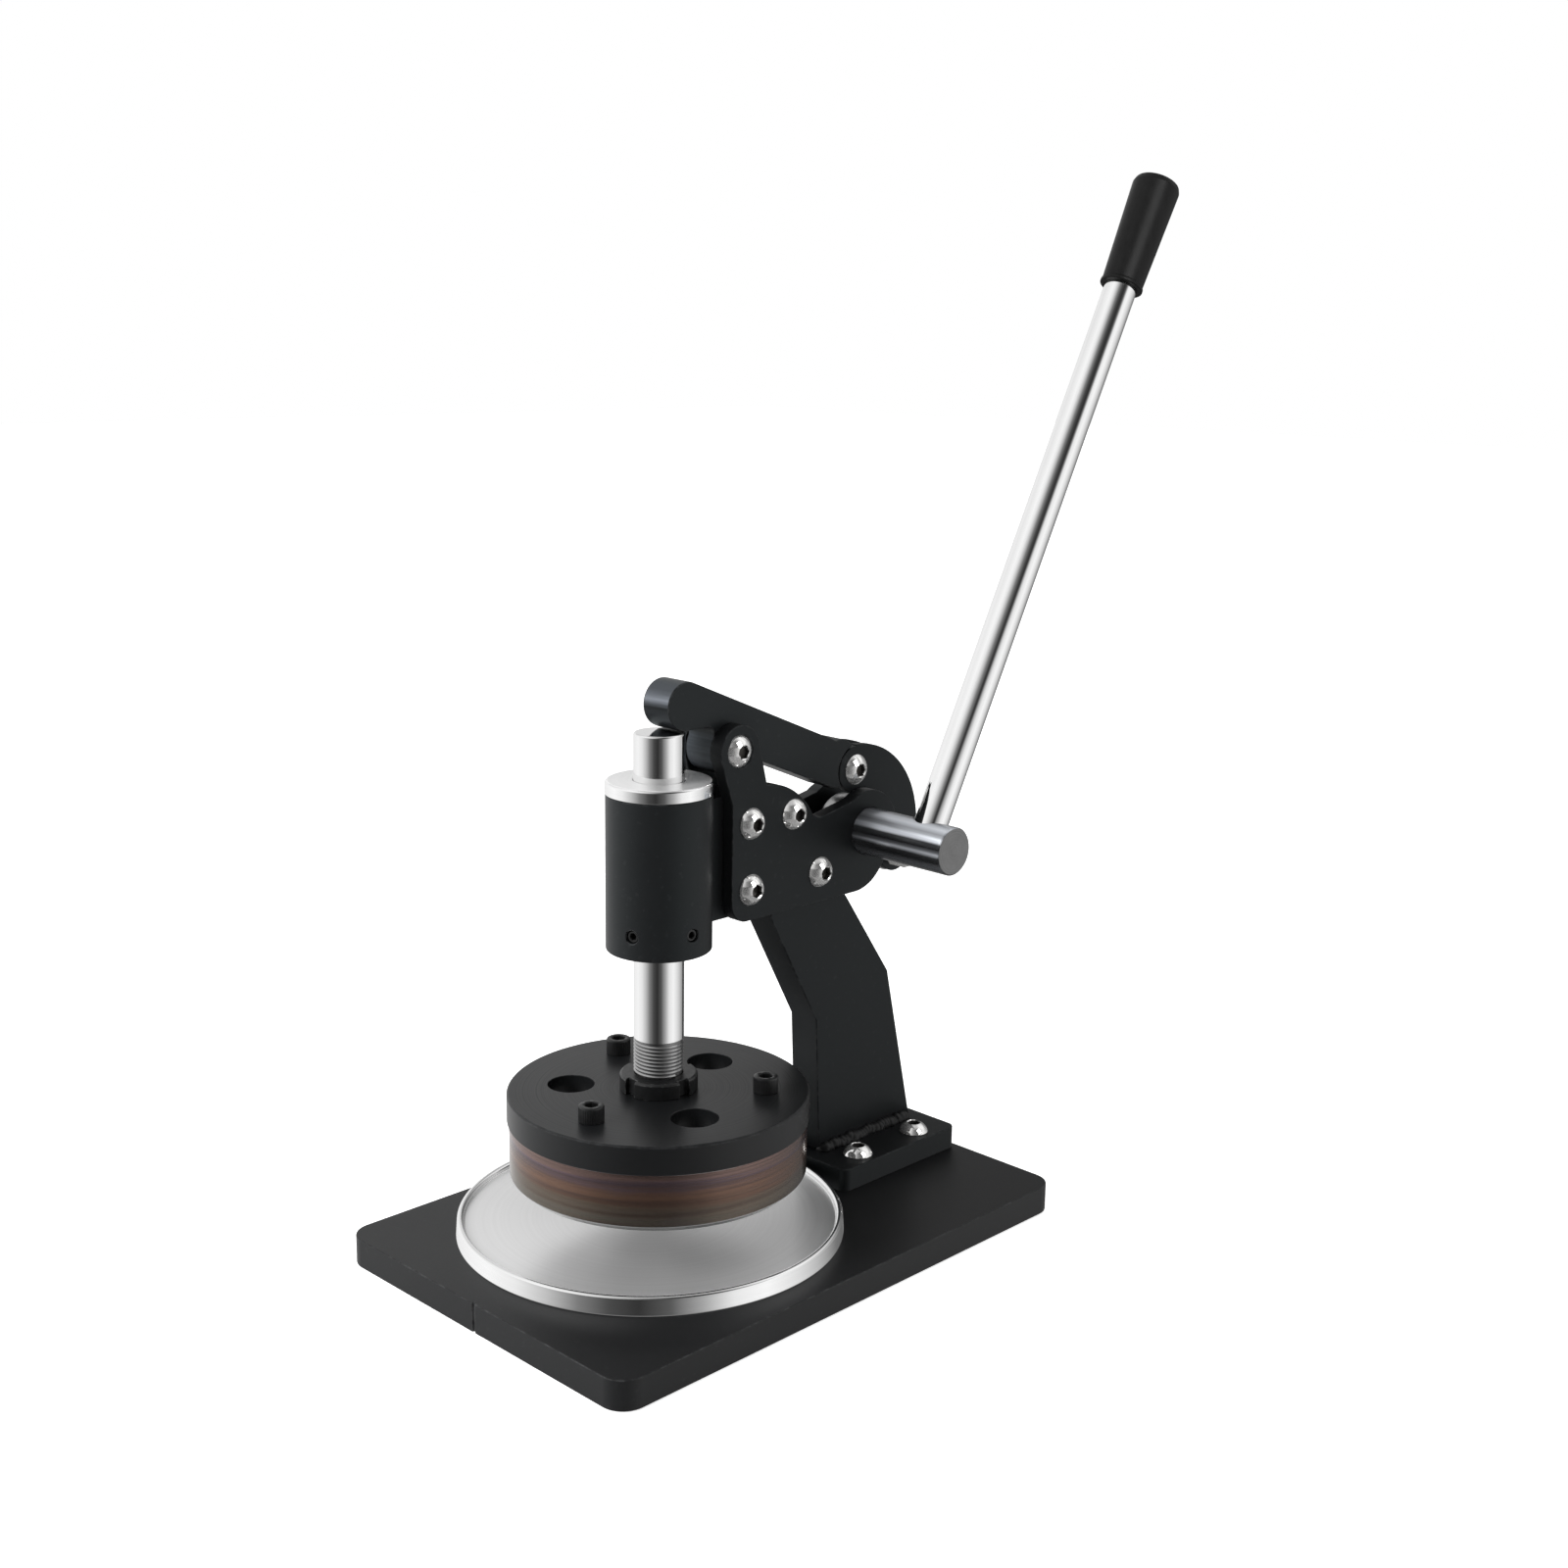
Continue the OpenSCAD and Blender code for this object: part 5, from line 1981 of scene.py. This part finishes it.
@dataclass
class Press:
    """Ram with its thread, lock nut, die plate and ring blade."""

    edge: float = 0.3
    ram_r: float = 10.0
    core_r: float = 9.35
    low: float = 61.0
    top: float = 216.25
    thread_low: float = 79.4
    thread_top: float = 93.9
    thread_end: float = 1.2
    pitch: float = 1.5
    ridge: float = 0.52
    ridge_sunk: float = 0.1
    collar: Pair = (180.25, 186.25)
    collar_r: float = 15.0
    collar_room: float = 0.05
    die_top: float = 72.5
    screw_r: float = 42.5
    screw_turns: Point = (41.0, 161.0, 281.0)
    screw_rolls: Point = (10.0, 33.0, 47.0)

    def build(self) -> None:
        """Build and dress what goes up and down."""
        self.build_ram()
        self.build_collar()
        show_rounded("slotted_nut", "lock_nut", self.edge, Finishes.SCREW_BLACK, Body.RAM)
        show_rounded("die_disc", "die_plate", self.edge, Finishes.DIE_BLACK, Body.RAM)
        blade = show_rounded("round_blade", "ring_blade", self.edge, Finishes.BLADE_STEEL, Body.RAM)
        blade.visible_glossy = False
        spots = round_spots(RAM_AXIS, self.screw_r, self.screw_turns, self.die_top)
        points = point_mesh("blade_screws", spots, self.screw_rolls)
        screw = CapScrew(shank_d=6.0, length=16.5, head_d=10.0, head_h=6.5, flats=5.0).mesh()
        finish = Finishes.SCREW_BLACK
        show_set("die_screw_set", "blade_screws", screw, points, Facing.UP, finish, Body.RAM)

    def build_ram(self) -> None:
        """Turn the ram and wind its thread."""
        rings = outline(
            (0.0, self.low, 0.0),
            (self.core_r, self.low, 0.3),
            (self.core_r, self.thread_top - 0.4, 0.0),
            (self.ram_r, self.thread_top, 0.25),
            (self.ram_r, self.top, 1.0),
            (0.0, self.top, 0.0),
            steps=6,
        )
        mesh = turned("ram", rings, upright(*RAM_AXIS), 128)
        show("chrome_ram", mesh, Finishes.RAM_CHROME, Body.RAM, "ram")
        x, y = RAM_AXIS
        values = {
            "Pitch": self.pitch * MM,
            "Turns": (self.thread_top - self.thread_end - self.thread_low) / self.pitch,
            "Radius": (self.core_r + self.ridge_sunk) * MM,
            "Ridge": self.ridge * MM,
            "Place": (x * MM, y * MM, (self.thread_low + self.ridge) * MM),
        }
        mesh = Recipes.thread().cook("ram_thread", Finishes.THREAD_STEEL, values)
        show("ram_thread", polished(mesh, 50.0), Finishes.THREAD_STEEL, Body.RAM)

    def build_collar(self) -> None:
        """Turn the spring collar."""
        radii = (self.ram_r + self.collar_room, self.collar_r)
        rings = bushing(radii, self.collar, inner=(0.3, 0.3), outer=(0.5, 0.5))
        mesh = turned("spring_collar", rings, upright(*RAM_AXIS), closed=True)
        show("spring_collar", mesh, Finishes.BUSH_STEEL, Body.RAM, "ram_collar")


@dataclass
class Linkage:
    """Rocker, bowed links and their pins."""

    rocker_edge: float = 0.4
    link_edge: float = 0.25
    link_top: Pair = (73.6, 187.4)
    crank_point: Pair = (100.0, 149.0)
    half: float = 7.25
    pin_d: float = 8.0
    tail_d: float = 13.0
    tail: float = 2.0

    def build(self) -> None:
        """Build and dress the rocker, the links and the pins."""
        finish = Finishes.LEVER_BLACK
        show_rounded("rocker_lever", "rocker_arm", self.rocker_edge, finish, Body.ROCKER, steps=3)
        for side in ("right", "left"):
            name, node = side + "_bow_link", side + "_link"
            link = show_rounded(name, node, self.link_edge, Finishes.PAINT, Body.LINKS)
            link.visible_glossy = False
        pin = self.pin(self.link_top, head_d=13.0, head_h=3.6, socket=5.0)
        pin.show("upper_link_pin", Body.LINKS, "link_pin")
        pin = self.pin(self.crank_point, head_d=15.0, head_h=9.5, socket=0.0)
        pin.show("crank_end_pin", Body.LINKS, "crank_pin")

    def pin(self, axis: Pair, head_d: float, head_h: float, socket: float) -> HeadedPin:
        """Return a pin through both links.

        Args:
            axis: Its axis along X, as [y, z].
            head_d: Diameter of its head.
            head_h: Height of its head.
            socket: Width of its socket across the flats, or 0 for a hexagon head.

        Returns:
            The pin.
        """
        return HeadedPin(
            axis=axis,
            d=self.pin_d,
            low=-self.half,
            high=self.half,
            head_d=head_d,
            head_h=head_h,
            socket=socket,
            tail_d=self.tail_d,
            tail=self.tail,
        )


@dataclass
class Handle:
    """Handle shaft with its crank, rod and grip."""

    rod_x: float = 43.8
    rod_r: float = 7.0
    rod_low: float = -5.95
    rod_top: float = 298.95
    rod_round: float = 0.5
    grip_low: float = 253.0
    grip_top: float = 303.0
    grip_low_r: float = 8.8
    grip_top_r: float = 10.3
    grip_room: float = 0.05
    lip: Pair = (0.5, 1.6)

    def build(self) -> None:
        """Build and dress the handle."""
        for name, node, edge, finish in (
            ("handle_axle", "handle_shaft", 0.15, Finishes.SHAFT_STEEL),
            ("crank_arm", "crank", 0.3, Finishes.SPRING_STEEL),
            ("axle_clip", "shaft_clip", 0.12, Finishes.SCREW_BRIGHT),
            ("axle_key", "crank_key", 0.3, Finishes.SPRING_STEEL),
        ):
            show_rounded(name, node, edge, finish, Body.LEVER)
        lean = Matrix.Rotation(-math.radians(HANDLE_LEAN), 4, "X")
        place = Matrix.Translation((self.rod_x, *SHAFT_AXIS)) @ lean
        rings = outline(
            (0.0, self.rod_low, 0.0),
            (self.rod_r, self.rod_low, self.rod_round),
            (self.rod_r, self.rod_top, self.rod_round),
            (0.0, self.rod_top, 0.0),
        )
        mesh = turned("rod", rings, place)
        show("chrome_rod", mesh, Finishes.ROD_CHROME, Body.LEVER, "handle_rod")
        self.build_grip(place)

    def build_grip(self, place: Matrix) -> None:
        """Turn the grip with its rolled lower lip and soft end.

        Args:
            place: Where the handle's axis goes.
        """
        lip, lip_h = self.lip
        bore = self.rod_r + self.grip_room
        low_r, top_r = self.grip_low_r, self.grip_top_r
        rings = outline(
            (bore, self.rod_top - 2.0, 0.0),
            (bore, self.grip_low, 0.3),
            (low_r + lip, self.grip_low, 0.45),
            (low_r + lip, self.grip_low + lip_h, 0.45),
            (low_r + 0.05, self.grip_low + lip_h, 0.3),
            (top_r, self.grip_top - 3.0, 2.0),
            (top_r - 0.9, self.grip_top - 0.5, 1.6),
            (top_r - 3.2, self.grip_top - 0.1, 2.0),
            (0.0, self.grip_top - 0.35, 0.0),
            steps=5,
        )
        cup = self.rod_top + self.grip_room
        rings += [Ring(0.0, cup), Ring(bore, cup)]
        mesh = turned("grip", rings, place, closed=True)
        show("vinyl_grip", mesh, Finishes.VINYL, Body.LEVER, "handle_grip")


@dataclass(frozen=True)
class Softbox:
    """A soft lamp: place and size in metres, power in watts and the pieces it is kept to."""

    name: str
    spot: Point
    size: Pair
    power: float
    pieces: tuple[str, ...] = ()

    def hang(self, target: Point) -> None:
        """Hang the lamp, which shows in no mirror unless it is kept to some pieces.

        Args:
            target: The point that it faces, in metres.
        """
        lamp = bpy.data.lights.new(self.name, "AREA")
        lamp.shape = "RECTANGLE"
        lamp.size, lamp.size_y = self.size
        lamp.energy = self.power
        holder = bpy.data.objects.new(self.name, lamp)
        bpy.context.scene.collection.objects.link(holder)
        turn = (Vector(target) - Vector(self.spot)).to_track_quat("-Z", "Y")
        holder.matrix_world = Matrix.Translation(self.spot) @ turn.to_matrix().to_4x4()
        holder.visible_camera = False
        holder.visible_glossy = bool(self.pieces)
        if self.pieces:
            lit = bpy.data.collections.new("lit_by_" + self.name)
            for piece in self.pieces:
                lit.objects.link(bpy.data.objects[piece])
            holder.light_linking.receiver_collection = lit


@dataclass
class Studio:
    """Pale floor, soft light and the photograph's camera."""

    eye: Point = (0.55722, -0.53409, 0.36858)
    azimuth: float = 44.24
    elevation: float = 12.92
    roll: float = 0.91
    lens: float = 46.093
    sensor: float = 36.0
    near: float = 0.01
    floor_reach: float = 6.0
    floor_z: float = -0.0003
    floor_tone: float = 0.9
    floor_rough: float = 0.9
    floor_glow: float = 0.7
    walls: tuple[Pair, ...] = (
        (-180.0, 0.72),
        (-164.0, 0.88),
        (-104.0, 1.05),
        (-79.0, 0.92),
        (-57.0, 0.58),
        (-38.0, 0.22),
        (-20.0, 0.07),
        (-3.0, 0.03),
        (15.0, 0.10),
        (34.0, 0.42),
        (52.0, 0.90),
        (73.0, 1.05),
        (97.0, 0.80),
        (128.0, 0.38),
        (144.0, 0.19),
        (164.0, 0.13),
        (180.0, 0.40),
    )
    high_from: Pair = (0.28, 0.5)
    high_turn: float = 36.0
    overhead_from: Pair = (0.82, 0.99)
    overhead: float = 0.5
    underfoot_from: Pair = (-0.38, -0.6)
    underfoot: float = 0.2
    lamp_target: Point = (0.0, 0.0, 0.14)
    lamps: tuple[Softbox, ...] = (
        Softbox("left_softbox", (-0.45, -1.2, 0.75), (0.7, 0.7), 26.0),
        Softbox("right_softbox", (0.95, 0.75, 0.6), (0.7, 1.0), 2.0),
        Softbox("top_softbox", (-0.2, 0.2, 1.5), (1.2, 1.2), 3.0),
        Softbox(
            "screw_softbox",
            (1.11, 0.3, 0.97),
            (0.6, 0.8),
            12.0,
            ("foot_screw_set", "cheek_screw_set", "rocker_pivot_pin", "upper_link_pin"),
        ),
        Softbox("grip_softbox", (1.1, -0.3, 0.97), (1.0, 0.8), 17.0, ("vinyl_grip",)),
    )

    def build(self) -> None:
        """Build the floor, the light and the camera."""
        self.build_floor()
        self.build_world()
        for lamp in self.lamps:
            lamp.hang(self.lamp_target)
        self.build_camera()
        bpy.context.scene.view_settings.view_transform = "Standard"

    def build_floor(self) -> None:
        """Lay the pale floor."""
        mesh = bpy.data.meshes.new("pale_floor")
        r, z = self.floor_reach, self.floor_z
        mesh.from_pydata([(-r, -r, z), (r, -r, z), (r, r, z), (-r, r, z)], [], [(0, 1, 2, 3)])
        material = bpy.data.materials.new("pale_floor")
        material.use_nodes = True
        surface = material.node_tree.nodes["Principled BSDF"]
        for socket, value in (
            ("Base Color", grey(self.floor_tone)),
            ("Roughness", self.floor_rough),
            ("Specular IOR Level", 0.0),
            ("Emission Color", grey(1.0)),
            ("Emission Strength", self.floor_glow),
        ):
            surface.inputs[socket].default_value = value
        mesh.materials.append(material)
        floor = bpy.data.objects.new("pale_floor", mesh)
        bpy.context.scene.collection.objects.link(floor)
        floor.visible_glossy = False

    def build_world(self) -> None:
        """Make the room: white where it is seen, bright at both sides and dark at the camera."""
        world = bpy.data.worlds.new("studio_room")
        world.use_nodes = True
        bpy.context.scene.world = world
        world.node_tree.nodes.clear()
        graph = Graph(world.node_tree)
        x, y, z = graph.split(graph.get("ShaderNodeTexCoord", output="Generated"))
        turn = math.radians(self.azimuth)
        ahead = x * math.sin(turn) - y * math.cos(turn)
        aside = x * math.cos(turn) + y * math.sin(turn)
        shift = 0.5 - z.between(*self.high_from) * self.high_turn / 360
        bearing = ahead.maths("ARCTAN2", aside, ahead) / (2 * math.pi) + shift
        walls = tuple((degrees / 360 + 0.5, grey(level)) for degrees, level in self.walls)
        room = graph.ramp(bearing, walls)
        room = graph.blend(z.between(*self.overhead_from), room, grey(self.overhead))
        room = graph.blend(z.between(*self.underfoot_from), room, grey(self.underfoot))
        seen = graph.get("ShaderNodeLightPath", output="Is Camera Ray")
        shown = graph.blend(seen, room, grey(1.0))
        light = graph.get("ShaderNodeBackground", inputs={"Color": shown})
        graph.add("ShaderNodeOutputWorld", inputs={"Surface": light})

    def build_camera(self) -> None:
        """Set the camera where the photograph was taken from."""
        angles = (self.azimuth, self.elevation, self.roll)
        turn, tilt, roll = (math.radians(angle) for angle in angles)
        level = math.cos(tilt)
        back = Vector((math.sin(turn) * level, -math.cos(turn) * level, math.sin(tilt)))
        right = Vector((math.cos(turn), math.sin(turn), 0.0))
        up = back.cross(right)
        rolled = right * math.cos(roll) + up * math.sin(roll)
        upper = up * math.cos(roll) - right * math.sin(roll)
        data = bpy.data.cameras.new("photo_camera")
        data.lens = self.lens
        data.sensor_width = self.sensor
        data.clip_start = self.near
        camera = bpy.data.objects.new("photo_camera", data)
        bpy.context.scene.collection.objects.link(camera)
        matrix = Matrix((rolled, upper, back)).transposed().to_4x4()
        matrix.translation = Vector(self.eye)
        camera.matrix_world = matrix
        bpy.context.scene.camera = camera


def keep_sizes() -> None:
    """Bring the view layer up to date."""
    bpy.context.view_layer.update()


def main() -> None:
    """Build the cutter's sub-assemblies in order, then the studio."""
    logging.basicConfig(level=logging.INFO, format="%(name)s: %(message)s")
    for assembly in (Bed(), Column(), Cheeks(), Guide(), Press(), Linkage(), Handle()):
        LOG.info("building %s", type(assembly).__name__)
        assembly.build()
    Studio().build()
    keep_sizes()


if __name__ == "__main__":
    main()
